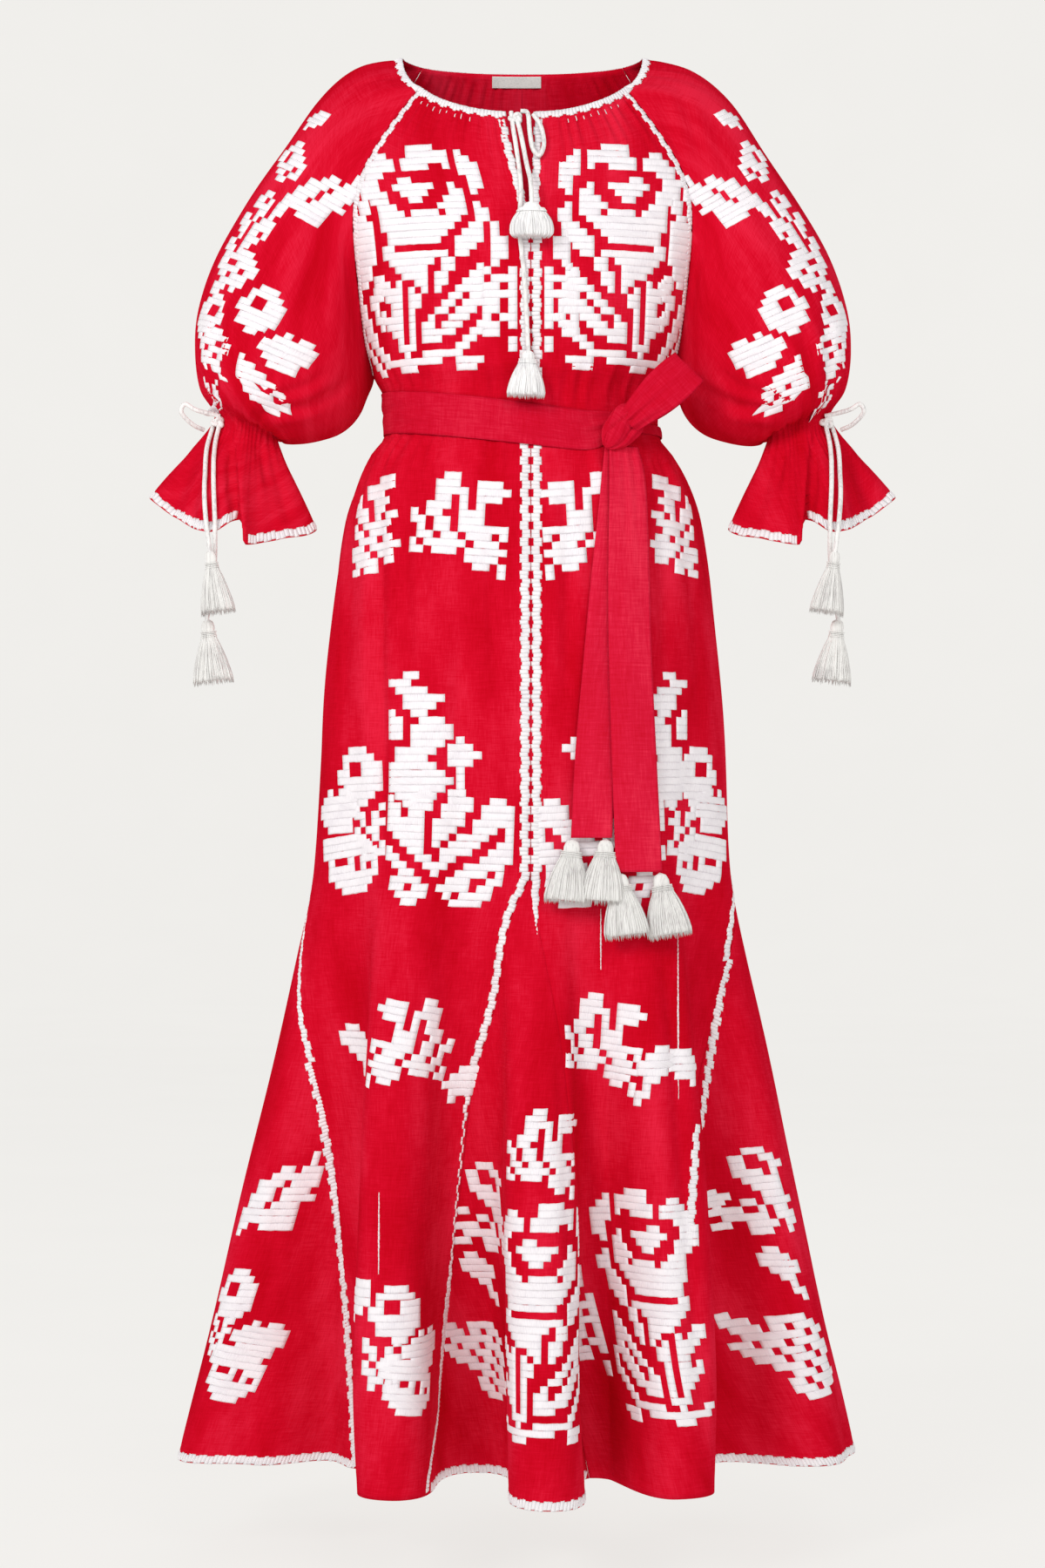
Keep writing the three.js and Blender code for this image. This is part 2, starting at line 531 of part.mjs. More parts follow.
const PANELS = [
  { name: "front_left", courses: panelCourses, edges: ["frontLeft", "frontLeftSide"], columns: PANEL_COLUMNS },
  { name: "back_left", courses: panelCourses, edges: ["backLeftSide", "backLeft"], columns: PANEL_COLUMNS },
  { name: "back_right", courses: panelCourses, edges: ["backRight", "backRightSide"], columns: PANEL_COLUMNS },
  { name: "front_right", courses: panelCourses, edges: ["frontRightSide", "frontRight"], columns: PANEL_COLUMNS },
  { name: "godet_left", courses: godetCourses, edges: ["frontLeftSide", "backLeftSide"], columns: 14 },
  { name: "godet_back", courses: godetCourses, edges: ["backLeft", "backRight"], columns: 10 },
  { name: "godet_right", courses: godetCourses, edges: ["backRightSide", "frontRightSide"], columns: 14 },
  { name: "godet_front", courses: godetCourses, edges: ["frontRight", "frontLeftOver"], columns: 14 },
];

// ---- sleeves -----------------------------------------------------------------------------------
const NECK_COLUMNS = 4; // of the sleeve's top edge, along the neckline

// The armhole of the left sleeve: up the front raglan seam, over the shoulder along the neckline, and
// down the back seam to the armpit, as points on the body's form.
function armhole() {
  const up = [...SEAM_COURSES].reverse().map((course) => seamPoint("front", course));
  const down = SEAM_COURSES.slice(0, -1).map((course) => seamPoint("back", course));
  const over = [];
  for (let i = 1; i < NECK_COLUMNS; i++) {
    const turn = toRadians(THREE.MathUtils.lerp(raglanAngle("front", 0), raglanAngle("back", 0), i / NECK_COLUMNS));
    const out = Math.cos(turn);
    const edge = out >= 0 ? YOKE.front[0] : YOKE.back[0];
    over.push(vector(SLEEVE[0].outerX * Math.sin(turn) ** 0.8, -edge.depth * out, edge.centreZ * Math.abs(out)));
  }
  return [...up, ...over, ...down];
}

const seamPoint = (face, course) => {
  const row = rowAt(YOKE[face], course);
  return vector(row.seamX, face === "front" ? -row.seamDepth : row.seamDepth, row.seamZ);
};

// One ring of the sleeve: its middle, the half axis to its outermost point, and the way it stands off.
function sleeveFrame(station) {
  const ring = rowAt(SLEEVE, station);
  const outer = vector(ring.outerX, -ring.forward, ring.outerZ);
  const inner = vector(ring.innerX, -ring.forward, ring.innerZ);
  const centre = outer.clone().add(inner).multiplyScalar(0.5);
  const axis = outer.sub(centre);
  const away = vector(axis.z, 0, -axis.x).normalize();
  return { ...ring, centre, axis, away, station };
}

// The sleeve's grid of points, ring by ring. Each point of the armhole keeps its place in the rings
// that follow, so the columns run down the sleeve from the seams and the neckline.
function sleevePoints() {
  const first = sleeveFrame(0);
  const seats = armhole().map((point) => {
    const from = point.clone().sub(first.centre);
    const along = from.dot(first.axis) / first.axis.lengthSq();
    const depth = from.y / (from.y < 0 ? first.front : first.back);
    return { point, along, depth, stands: from.dot(first.away), turn: Math.atan2(depth, along) };
  });
  return SLEEVE_STATIONS.map(sleeveFrame).map((ring) => seats.map((seat) => sleevePoint(ring, seat)));
}

function sleevePoint(ring, seat) {
  if (ring.station === 0) return seat.point.clone();
  const below = THREE.MathUtils.clamp((ring.station - CUFF_RING) / (SLEEVE.length - 1 - CUFF_RING), 0, 1);
  const ripple = FRILL_RIPPLE * below * Math.cos(FRILL_WAVES * seat.turn + FRILL_PHASE);
  const grow = 1 + ripple / ring.axis.length();
  const along = THREE.MathUtils.lerp(seat.along, Math.cos(seat.turn), ring.oval) * grow;
  const depth = THREE.MathUtils.lerp(seat.depth, Math.sin(seat.turn), ring.oval) * grow;
  return ring.centre
    .clone()
    .addScaledVector(ring.axis, along)
    .addScaledVector(ring.away, seat.stands * (1 - ring.oval))
    .add(vector(0, depth * (depth < 0 ? ring.front : ring.back), -FRILL_DROP * below * Math.max(-depth, 0)));
}

// Outward normals of a grid that closes on itself round its columns.
function tubeNormals(points) {
  return points.map((row, r) =>
    row.map((_, c) => {
      const n = row.length;
      const across = row[(c + 1) % n].clone().sub(row[(c + n - 1) % n]);
      const above = points[Math.max(r - 1, 0)][c];
      const below = points[Math.min(r + 1, points.length - 1)][c];
      return below.clone().sub(above).cross(across).normalize();
    }),
  );
}

const SLEEVE_POINTS = sleevePoints();
const SLEEVE_NORMALS = tubeNormals(SLEEVE_POINTS);

// The normal that the sleeve and the body share at a point of the armhole, so that their walls meet
// edge to edge; under the arm, where they fold back on each other, each keeps its own.
function sharedNormal(own, other) {
  return own.dot(other) > 0.3 ? own.clone().add(other).normalize() : own;
}

const mirrored = (grid) =>
  grid.map((row) =>
    row.map(({ point, normal }) => ({
      point: vector(-point.x, point.y, point.z),
      normal: vector(-normal.x, normal.y, normal.z),
    })),
  );

// The column of the sleeve that starts at one of the courses of the front or the back raglan seam.
const seamColumn = (face, i) =>
  face === "front" ? SEAM_COURSES.length - 1 - i : SEAM_COURSES.length - 1 + NECK_COLUMNS + i;

function sleeveGrid() {
  const columns = SLEEVE_POINTS[0].length;
  const grid = SLEEVE_POINTS.map((row, r) =>
    row.map((point, c) => ({ point: point.clone(), normal: SLEEVE_NORMALS[r][c].clone() })),
  );
  for (const face of ["front", "back"])
    SEAM_COURSES.forEach((course, i) => {
      const c = seamColumn(face, i) % columns;
      const body = bodyNormal(course, raglanAngle(face, course));
      grid[0][c].normal = sharedNormal(SLEEVE_NORMALS[0][c], body);
    });
  for (let c = 0; c < columns; c++) {
    const away = grid[1][c].point.clone().sub(grid[0][c].point).normalize();
    grid[0][c].point.addScaledVector(away, SEAM_GAP);
  }
  return grid;
}

// A long panel's grid with its raglan edge's normals shared with the sleeve.
function bodyGrid({ courses, edges, columns }) {
  const grid = panelGrid(courses, EDGES[edges[0]], EDGES[edges[1]], columns);
  edges.forEach((name, end) => {
    if (!name.endsWith("Side") || courses[0] !== 0) return;
    const face = name.startsWith("front") ? "front" : "back";
    yokeCourses.forEach((_, row) => {
      const normal = SLEEVE_NORMALS[0][seamColumn(face, row)].clone();
      if (name.includes("Right")) normal.x *= -1;
      const seat = grid[row][end ? columns : 0];
      seat.normal = sharedNormal(seat.normal, normal);
    });
  });
  return grid;
}

// ---- sash ---------------------------------------------------------------------------------------
// The course and angle where the front of the dress is x to the wearer's left at a height.
function frontSeat(x, z) {
  const heights = YOKE.front.map((row) => row.centreZ);
  const course = z > ARMPIT_Z ? curveThrough(heights, [...heights.keys()], z) : courseAt(z);
  return { course, angle: frontAngleOf(course, x) };
}

function onFront(x, z, off) {
  const { course, angle } = frontSeat(x, z);
  return bodyPoint(course, angle).addScaledVector(bodyNormal(course, angle), off);
}

function sashWrap() {
  const COLUMNS = 40;
  const rows = [0, 0.25, 0.5, 0.75, 1].map((share) =>
    Array.from({ length: COLUMNS }, (_, c) => {
      const angle = (360 * c) / COLUMNS;
      const across = plainRing(SASH.topZ, angle);
      const z = SASH.topZ + SASH.slope * Math.min(across.x, SASH.levelFrom) - SASH.width * share;
      return { point: ringPoint(z, angle), normal: vector(across.x, across.y * 1.6, 0).normalize() };
    }),
  );
  // A band of cloth is straight down its width where the waist behind it is hollow.
  rows.slice(1, -1).forEach((row, r) =>
    row.forEach((seat, c) => {
      const straight = rows[0][c].point.clone().lerp(rows[4][c].point, (r + 1) / 4);
      if (straight.clone().sub(seat.point).dot(seat.normal) > 0) seat.point.copy(straight);
    }),
  );
  return wall(rows, { near: SASH.off, far: SASH.off + SASH.cloth, around: true });
}

// A point that stands off the front of the skirt, forward and a little to the side.
function offSkirt(x, z, off) {
  const seat = frontSeat(x, z);
  const away = vector(0.3 * Math.sin(toRadians(seat.angle)), -1, 0).normalize();
  return bodyPoint(seat.course, seat.angle).addScaledVector(away, off);
}

// A hanging end of the sash, from the points of the skirt behind it moved out.
function sashEnd(stations) {
  const rows = [];
  for (let i = 0; i <= 10; i++) {
    const row = rowAt(stations, (i * (stations.length - 1)) / 10);
    rows.push(
      [-0.5, -0.2, 0.2, 0.5].map((share) => {
        const x = row.x + row.width * share;
        return { point: offSkirt(x, row.z, row.off), normal: offSkirt(x, row.z, 1).sub(offSkirt(x, row.z, 0)) };
      }),
    );
  }
  return wall(rows, { near: 0, far: SASH.cloth });
}

const knotMiddle = () => {
  const seat = frontSeat(KNOT.x, KNOT.z);
  const cloth = SASH.off + SASH.cloth + KNOT.off + KNOT.thick / 2 + KNOT.clear;
  const away = vector(Math.sin(toRadians(KNOT.facing)), -Math.cos(toRadians(KNOT.facing)), 0);
  return bodyPoint(seat.course, seat.angle).addScaledVector(away, cloth);
};

// The knot: a rounded block, turned a little with the pull of the loop.
function sashKnot() {
  const shape = new THREE.SphereGeometry(1, 18, 12);
  const place = shape.getAttribute("position");
  for (let i = 0; i < place.count; i++) {
    const [x, y, z] = [place.getX(i), place.getY(i), place.getZ(i)];
    const block = [x, y, z].map((v) => powerOf(v, 0.8));
    place.setXYZ(i, (block[0] * KNOT.width) / 2, (block[2] * KNOT.thick) / 2, (block[1] * KNOT.height) / 2);
  }
  shape.rotateY(toRadians(-12)).rotateZ(toRadians(KNOT.facing));
  const middle = knotMiddle();
  shape.translate(middle.x, middle.y, middle.z);
  return outward(shape);
}

// A geometry of one body whose faces point outwards, from one that may be inside out.
function outward(shape) {
  const welded = mergeVertices(new THREE.BufferGeometry().setAttribute("position", shape.getAttribute("position")).setIndex(shape.index), 1e-4);
  const faces = Array.from(welded.index.array);
  const whole = [];
  for (let i = 0; i < faces.length; i += 3)
    if (new Set(faces.slice(i, i + 3)).size === 3) whole.push(...faces.slice(i, i + 3));
  return facingOut(Array.from(welded.getAttribute("position").array), whole);
}

function sashLoop() {
  const middle = knotMiddle();
  const along = vector(Math.cos(toRadians(LOOP.turn)), 0, Math.sin(toRadians(LOOP.turn)));
  const across = vector(-along.z, 0, along.x);
  const front = vector(0, -1, 0);
  const places = LOOP_STATIONS.map((station) =>
    middle.clone().addScaledVector(along, station.out + LOOP.start).addScaledVector(front, station.front),
  );
  const rows = places.map((place, i) => {
    const before = places[Math.max(i - 1, 0)];
    const after = places[Math.min(i + 1, places.length - 1)];
    const normal = across.clone().cross(after.clone().sub(before)).normalize();
    return [-0.5, 0, 0.5].map((share) => ({
      point: place.clone().addScaledVector(across, LOOP_STATIONS[i].width * share),
      normal,
    }));
  });
  return wall(rows, { near: -SASH.cloth / 2, far: SASH.cloth / 2 });
}

// ---- cords and tassels --------------------------------------------------------------------------
function cordTube(points) {
  const path = new THREE.CatmullRomCurve3(points, false, "centripetal");
  const round = new THREE.Shape();
  for (let i = 0; i < 8; i++) {
    const turn = (Math.PI * (i + 0.5)) / 4;
    const [x, y] = [(Math.cos(turn) * CORD_DIAMETER) / 2, (Math.sin(turn) * CORD_DIAMETER) / 2];
    if (i) round.lineTo(x, y);
    else round.moveTo(x, y);
  }
  const steps = THREE.MathUtils.clamp(Math.round(path.getLength() / (2.2 * CORD_DIAMETER)), 6, 80);
  return new THREE.ExtrudeGeometry(round, { steps, extrudePath: path });
}

// A cord's stations, and three more between each pair.
const closer = (stations) =>
  Array.from({ length: 4 * stations.length - 3 }, (_, i) => rowAt(stations, i / 4));

const neckPath = (stations) => closer(stations).map(({ x, z, off }) => onFront(x, z, off));

// The left cuff's cords lie on the front of the sleeve, and fall straight from its frill's hem.
function cuffPath(stations, side) {
  let depth = 8;
  return closer(stations).map(({ x, z, off }) => {
    depth = Math.max(...[-2.5, 0, 2.5].map((aside) => sleeveDepth(x + aside, z)), depth - 0.8);
    return vector(side * x, -depth - off, z);
  });
}

// How far in front of the origin the left sleeve's cloth is, at a place in the front view; 0 off it.
function sleeveDepth(x, z) {
  const place = vector(x, 0, z);
  const flat = (point) => vector(point.x, 0, point.z);
  let depth = 0;
  for (let r = 0; r < SLEEVE_POINTS.length - 1; r++)
    for (let c = 0; c < SLEEVE_POINTS[0].length - 1; c++) {
      const [a, b] = [SLEEVE_POINTS[r][c], SLEEVE_POINTS[r][c + 1]];
      const [d, e] = [SLEEVE_POINTS[r + 1][c], SLEEVE_POINTS[r + 1][c + 1]];
      for (const corners of [[a, b, e], [a, e, d]]) {
        const within = vector(0, 0, 0);
        THREE.Triangle.getBarycoord(place, ...corners.map(flat), within);
        if (within.x < 0 || within.y < 0 || within.z < 0) continue;
        depth = Math.max(depth, -(within.x * corners[0].y + within.y * corners[1].y + within.z * corners[2].y));
      }
    }
  return depth;
}

// A tassel that hangs from a point, leaning by degrees in the front view, flattened front to back.
function tassel(top, { length, width, lean, flat = 0.7, forward = 0 }) {
  const profile = TASSEL.map(({ down, wide }) => new THREE.Vector2((wide * width) / 2, -down * length));
  profile.unshift(new THREE.Vector2(0, 0));
  profile.push(new THREE.Vector2(0, -length));
  const bell = new THREE.LatheGeometry(profile, 14);
  bell.rotateX(Math.PI / 2).scale(1, flat, 1).rotateX(toRadians(-forward)).rotateY(toRadians(-lean));
  bell.translate(top.x, top.y, top.z);
  return outward(bell);
}

// ---- trim and label -----------------------------------------------------------------------------
// The seats round the neckline in one row of the panels' and sleeves' grids, from the slit round to it.
function necklineSeats(row) {
  const from = SEAM_COURSES.length - 1;
  const left = grids.sleeve_left[row].slice(from, from + NECK_COLUMNS + 1);
  const right = grids.sleeve_right[row].slice(from, from + NECK_COLUMNS + 1).reverse();
  const [front, back] = [grids.front_left[row], grids.back_left[row]];
  return [...front, ...left, ...back, ...grids.back_right[row], ...right, ...grids.front_right[row]];
}

const neckTrim = () =>
  wall([necklineSeats(0), necklineSeats(1)], { near: NECK_TRIM.off, far: NECK_TRIM.off + NECK_TRIM.thick });

// A blank label on the inside of the back, under the neckline.
function label() {
  const rows = [0, 1].map((down) =>
    [0, 0.25, 0.5, 0.75, 1].map((share) => {
      const x = LABEL.x + LABEL.width * (share - 0.5);
      const course = 0.04 + (down * LABEL.height) / 46;
      const angle = 180 - frontAngleOf(course, x);
      return { point: bodyPoint(course, angle), normal: bodyNormal(course, angle) };
    }),
  );
  return wall(rows, { near: -WALL - 0.4, far: -WALL - 0.4 - LABEL.thick });
}

// ---- the dress ---------------------------------------------------------------------------------
const linen = () => new THREE.MeshStandardMaterial({ color: RED, roughness: 0.85, metalness: 0 });
const thread = () => new THREE.MeshStandardMaterial({ color: WHITE, roughness: 0.6, metalness: 0 });

const dress = new THREE.Group();

function add(name, geometry, material) {
  const mesh = new THREE.Mesh(geometry, material);
  mesh.name = name;
  dress.add(mesh);
}

const grids = {};
for (const panel of PANELS) {
  grids[panel.name] = bodyGrid(panel);
  add(panel.name, wall(grids[panel.name]), linen());
}
grids.sleeve_left = sleeveGrid();
grids.sleeve_right = mirrored(grids.sleeve_left);
for (const name of ["sleeve_left", "sleeve_right"]) add(name, wall(grids[name], { around: true }), linen());

add("neck_trim", neckTrim(), thread());
add("label", label(), thread());
add("sash_wrap", sashWrap(), linen());
add("sash_knot", sashKnot(), linen());
add("sash_loop", sashLoop(), linen());
for (const [name, stations] of Object.entries(SASH_ENDS)) add(`sash_end_${name}`, sashEnd(stations), linen());

for (const { name, end, along, lean } of SASH_TASSELS) {
  const hem = SASH_ENDS[end][SASH_ENDS[end].length - 1];
  const top = offSkirt(hem.x + along, hem.z, hem.off + SASH.cloth / 2);
  top.z -= 0.6;
  add(name, tassel(top, { ...SASH_TASSEL, lean }), thread());
}

const cordEnds = {};
function addCord(name, points) {
  add(name, cordTube(points), thread());
  cordEnds[name] = points[points.length - 1];
}
for (const [name, stations] of Object.entries(NECK_CORDS)) addCord(name, neckPath(stations));
for (const [word, side] of [["left", 1], ["right", -1]])
  for (const [name, stations] of Object.entries(CUFF_CORDS)) addCord(`${name}_${word}`, cuffPath(stations, side));

function addTassel(spec, suffix, side) {
  const top = cordEnds[spec.on + suffix].clone();
  top.z -= 0.6;
  add(spec.name + suffix, tassel(top, { ...spec, lean: side * spec.lean }), thread());
}
for (const spec of TASSELS) {
  if (spec.name.startsWith("neck")) addTassel(spec, "", 1);
  else for (const [suffix, side] of [["_left", 1], ["_right", -1]]) addTassel(spec, suffix, side);
}

export default dress;
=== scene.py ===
"""A long folk dress in red linen, worn pose, hollow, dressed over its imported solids.

The form is worked out in millimetres (+Z up, the front faces -Y, left is the wearer's, +X) and every
mesh is written in metres. A cut piece of cloth is a Patch: an even grid of places on the form, with a
pattern space of its own in which its stitching is charted.
"""

import logging
import math
from dataclasses import dataclass, field, replace
from enum import Enum
from typing import Callable, Sequence

import bmesh
import bpy
import numpy as np
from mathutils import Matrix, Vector
from mathutils.bvhtree import BVHTree


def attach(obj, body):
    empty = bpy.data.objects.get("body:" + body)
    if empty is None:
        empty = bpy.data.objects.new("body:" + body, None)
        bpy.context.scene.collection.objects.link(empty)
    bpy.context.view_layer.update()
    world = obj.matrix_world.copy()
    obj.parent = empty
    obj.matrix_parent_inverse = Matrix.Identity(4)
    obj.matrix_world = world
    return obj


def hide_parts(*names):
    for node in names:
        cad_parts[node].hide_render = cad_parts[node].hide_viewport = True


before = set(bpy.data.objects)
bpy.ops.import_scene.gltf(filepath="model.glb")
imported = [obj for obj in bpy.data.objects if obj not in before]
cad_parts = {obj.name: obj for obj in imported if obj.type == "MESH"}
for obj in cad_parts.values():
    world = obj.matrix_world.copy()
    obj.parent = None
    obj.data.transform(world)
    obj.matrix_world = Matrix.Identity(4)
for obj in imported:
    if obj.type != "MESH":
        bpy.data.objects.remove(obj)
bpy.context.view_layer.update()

LOG = logging.getLogger("folk_dress")
MM = 0.001
TURN = 6.2832  # a whole turn, in radians
PHASES = 6.28  # the range that random phases are drawn from
Array = np.ndarray
Colour = tuple[float, float, float]
Socket = bpy.types.NodeSocket


# ---- the form ------------------------------------------------------------------------------------
def power_of(value: Array, exponent: float) -> Array:
    """A power that keeps the sign of its value."""
    return np.sign(value) * np.abs(value) ** exponent


def smooth(t: Array) -> Array:
    """An ease from 0 to 1, flat at both ends."""
    t = np.clip(t, 0.0, 1.0)
    return t * t * (3 - 2 * t)


def unit(vectors: Array) -> Array:
    """Vectors of length 1 along the last axis."""
    return vectors / np.maximum(np.linalg.norm(vectors, axis=-1, keepdims=True), 1e-12)


def bell(share: Array) -> Array:
    """A bump: 1 where its share is 0, and almost nothing beyond 2."""
    return np.exp(-(share**2))


def fading(past: Array, reach: float) -> Array:
    """1 up to where something starts, then less and less over its reach."""
    return np.exp(-np.maximum(past, 0) / reach)


def spans(points: Array, axis: int = 0) -> Array:
    """Distances from each point of a line or a grid to the next along an axis."""
    return np.linalg.norm(np.diff(points, axis=axis), axis=-1)


def summed(steps: Array, axis: int = 0) -> Array:
    """Running sums of steps along an axis, from 0."""
    sums = steps.cumsum(axis=axis)
    return np.concatenate([0 * sums.take([0], axis=axis), sums], axis=axis)


def running(points: Array, axis: int = 0) -> Array:
    """Lengths along an axis of a line or a grid, from 0 at its first point."""
    return summed(spans(points, axis), axis)


def read_along(wanted: Array, lengths: Array, line: Array) -> Array:
    """Points of a line at these lengths along it."""
    return np.stack([np.interp(wanted, lengths, line[:, k]) for k in range(line.shape[1])], axis=1)


def paired(across: Array, down: Array) -> Array:
    """Two measures of one grid, side by side."""
    return np.stack(np.broadcast_arrays(across, down), axis=-1)


def curve_through(keys: Array, values: Array, at: Array) -> Array:
    """A column of a table between its rows, on a smooth curve through them.

    Args:
        keys: the rows' places, rising or falling.
        values: the column.
        at: where to read it.

    Returns:
        The column's value at each place.
    """
    if keys[-1] < keys[0]:
        keys, at = -keys, -at
    i = np.searchsorted(keys[1:-1], at, side="left")
    before = np.maximum(np.arange(len(keys)) - 1, 0)
    after = np.minimum(np.arange(len(keys)) + 1, len(keys) - 1)
    slope = (values[after] - values[before]) / (keys[after] - keys[before])
    span = keys[i + 1] - keys[i]
    t = np.clip((at - keys[i]) / span, 0.0, 1.0)
    h = 1 - t
    start = values[i] * (1 + 2 * t) * h * h + slope[i] * span * t * h * h
    return start + values[i + 1] * t * t * (3 - 2 * t) - slope[i + 1] * span * t * t * h


class Table:
    """Named columns of a form, read on smooth curves through its rows."""

    def __init__(self, names: str, rows: Sequence[Sequence[float]], key: str | None = None) -> None:
        """Keeps the columns; key names the one that places the rows, or their numbers do."""
        self.columns = dict(zip(names.split(), np.array(rows, dtype=float).T))
        self.keys = self.columns[key] if key else np.arange(len(rows), dtype=float)

    def at(self, place: Array) -> dict[str, Array]:
        """Every column at these places."""
        place = np.asarray(place, dtype=float)
        return {name: curve_through(self.keys, column, place) for name, column in self.columns.items()}


@dataclass(frozen=True)
class Flute:
    """A ridge of the skirt, or a trough where it is negative, from the hip to the hem."""

    hip_angle: float
    hem_angle: float
    spread: tuple[float, float]
    knee: float
    hem: float
    lean: tuple[float, float]


@dataclass
class DressForm:
    """The dress's form, the same as its solids'."""

    armpit_z: float = -320
    godet_top_z: float = -815
    godet_start_z: float = -824
    hem_z: float = -1405
    yoke_courses: int = 8
    ring_step: float = 45
    squareness: float = 2.2
    flute_start_z: float = -400
    yoke: dict[str, Table] = field(default_factory=lambda: {
        "front": Table("centre_z depth seam_x seam_depth seam_z", [
            (-70, 85, 101, 46, -38), (-108, 103, 131, 62, -80), (-145, 116, 153, 71, -117),
            (-178, 124, 164, 73, -148), (-207, 127, 166, 70, -180), (-234, 125, 164, 61, -213),
            (-264, 119, 160, 47, -254), (-293, 113, 155, 28, -292), (-320, 108, 148, 0, -320)]),
        "back": Table("centre_z depth seam_x seam_depth seam_z", [
            (-2, 72, 101, 39, -2), (-48, 88, 129, 56, -48), (-92, 100, 150, 66, -92),
            (-135, 108, 161, 70, -134), (-174, 112, 165, 68, -172), (-211, 111, 164, 60, -210),
            (-248, 106, 160, 46, -250), (-285, 98, 155, 28, -290), (-320, 90, 148, 0, -320)]),
    })
    rings: Table = field(default_factory=lambda: Table("z half_width front back widest", [
        (-320, 148, 108, 90, 0), (-340, 138, 99, 80, 0), (-380, 137, 97, 79, 0), (-398, 150, 104, 88, 0),
        (-430, 165, 112, 100, 0), (-465, 176, 118, 109, 0), (-535, 187, 122, 118, 0),
        (-640, 198, 122, 122, -3), (-812, 207, 108, 128, -12), (-900, 224, 98, 136, -24),
        (-1160, 283, 66, 165, -55), (-1405, 338, 40, 190, -75)], key="z"))
    flutes: tuple[Flute, ...] = (
        Flute(3, 3, (8.5, 9), 0, 186, (1.3, 1.3)),
        Flute(32, 20.5, (13, 14), 12, 138, (0.2, 1.3)),
        Flute(56, 36, (9, 16), -4, -34, (0, 0)),
        Flute(70, 60, (16, 18), 3, 20, (0, 0)),
        Flute(122, 121, (18, 16), 6, 62, (0.4, 0.6)),
        Flute(152, 152, (15, 13), 12, 100, (0.9, 0.8)),
        Flute(181, 181, (14, 13), 0, 118, (1.1, 1)),
        Flute(209, 209, (13, 15), 10, 94, (0.8, 0.9)),
        Flute(238, 240, (16, 18), 6, 58, (0.5, 0.4)),
        Flute(294, 290, (20, 18), 3, 27, (0, 0)),
        Flute(306, 325, (15, 9), -4, -44, (0, 0)),
        Flute(330, 342.8, (12, 11), 12, 142, (1.3, 0.9)),
    )
    seams: Table = field(default_factory=lambda: Table(
        "z frontLeft sideLeftFront sideLeftBack backLeft backRight sideRightBack sideRightFront frontRight", [
            (-815, 1.6, 90, 90, 180, 180, 270, 270, 361.6),
            (-900, 4, 64, 104, 176.5, 183.5, 256, 283, 355.5),
            (-1000, 6.3, 47, 122, 173.5, 186.5, 238, 302, 351),
            (-1100, 7.6, 38, 133, 171.5, 188.5, 227, 315, 350),
            (-1250, 9, 33, 141, 169.5, 190.5, 219, 325.5, 349.5),
            (-1405, 10.5, 31, 146, 168, 192, 214, 331.5, 348.3)], key="z"))
    centre_front: Table = field(default_factory=lambda: Table("z shift half_slit", [
        (-70, -3, 9.5), (-108, 0, 6.5), (-145, 4, 2.5), (-178, 7, 0), (-207, 8, 0), (-815, 8, 0)], key="z"))

    def height_of(self, course: Array) -> Array:
        """The height of a course below the armpit."""
        return self.armpit_z - (course - self.yoke_courses) * self.ring_step

    def course_at(self, z: Array) -> Array:
        """The course at a height below the armpit."""
        return self.yoke_courses + (self.armpit_z - z) / self.ring_step

    def yoke_course(self, face: str, course: Array) -> dict[str, Array]:
        """A yoke course's shape: its half width if it ran on round the side, and its seam's angle.

        Args:
            face: front or back.
            course: the courses, counted down from the neckline.

        Returns:
            The table's columns, with half_width and seam.
        """
        row = self.yoke[face].at(course)
        reach = np.minimum(row["seam_depth"] / row["depth"], 1.0)
        row["half_width"] = row["seam_x"] / (1 - reach**self.squareness) ** (1 / self.squareness)
        share = (row["seam_x"] / row["half_width"]) ** (self.squareness / 2)
        row["seam"] = np.arctan2(share, reach ** (self.squareness / 2))
        return row

    def raglan_angle(self, face: str, course: Array) -> Array:
        """The angle of the raglan seam on a yoke course, on the wearer's left."""
        seam = np.degrees(self.yoke_course(face, course)["seam"])
        return seam if face == "front" else 180 - seam

    def yoke_point(self, course: Array, angle: Array) -> Array:
        """Points of the yoke.

        Args:
            course: the courses, counted down from the neckline.
            angle: degrees round the body, from the front to the wearer's left.

        Returns:
            Points, in millimetres.
        """
        radians = np.radians(angle)
        out = np.abs(np.cos(radians))
        found = {}
        for face, way in (("front", -1), ("back", 1)):
            shape = self.yoke_course(face, course)
            x = shape["half_width"] * power_of(np.sin(radians), 2 / self.squareness)
            depth = shape["depth"] * out ** (2 / self.squareness)
            rise = (1 - out) / (1 - np.cos(shape["seam"]))
            z = shape["centre_z"] + (shape["seam_z"] - shape["centre_z"]) * rise
            found[face] = np.stack([x, way * depth, z], axis=-1)
        return np.where((np.cos(radians) >= 0)[..., None], found["front"], found["back"])

    def plain_ring(self, z: Array, angle: Array) -> Array:
        """Points of a ring without its flutes.

        Args:
            z: height, in millimetres.
            angle: degrees round the body, from the front to the wearer's left.

        Returns:
            Points, in millimetres.
        """
        ring = self.rings.at(z)
        radians = np.radians(angle)
        across = power_of(np.sin(radians), 2 / self.squareness)
        along = power_of(np.cos(radians), 2 / self.squareness)
        reach = np.where(along >= 0, ring["front"] - ring["widest"], ring["back"] + ring["widest"])
        return np.stack([ring["half_width"] * across, -(ring["widest"] + reach * along), z + 0 * across], axis=-1)

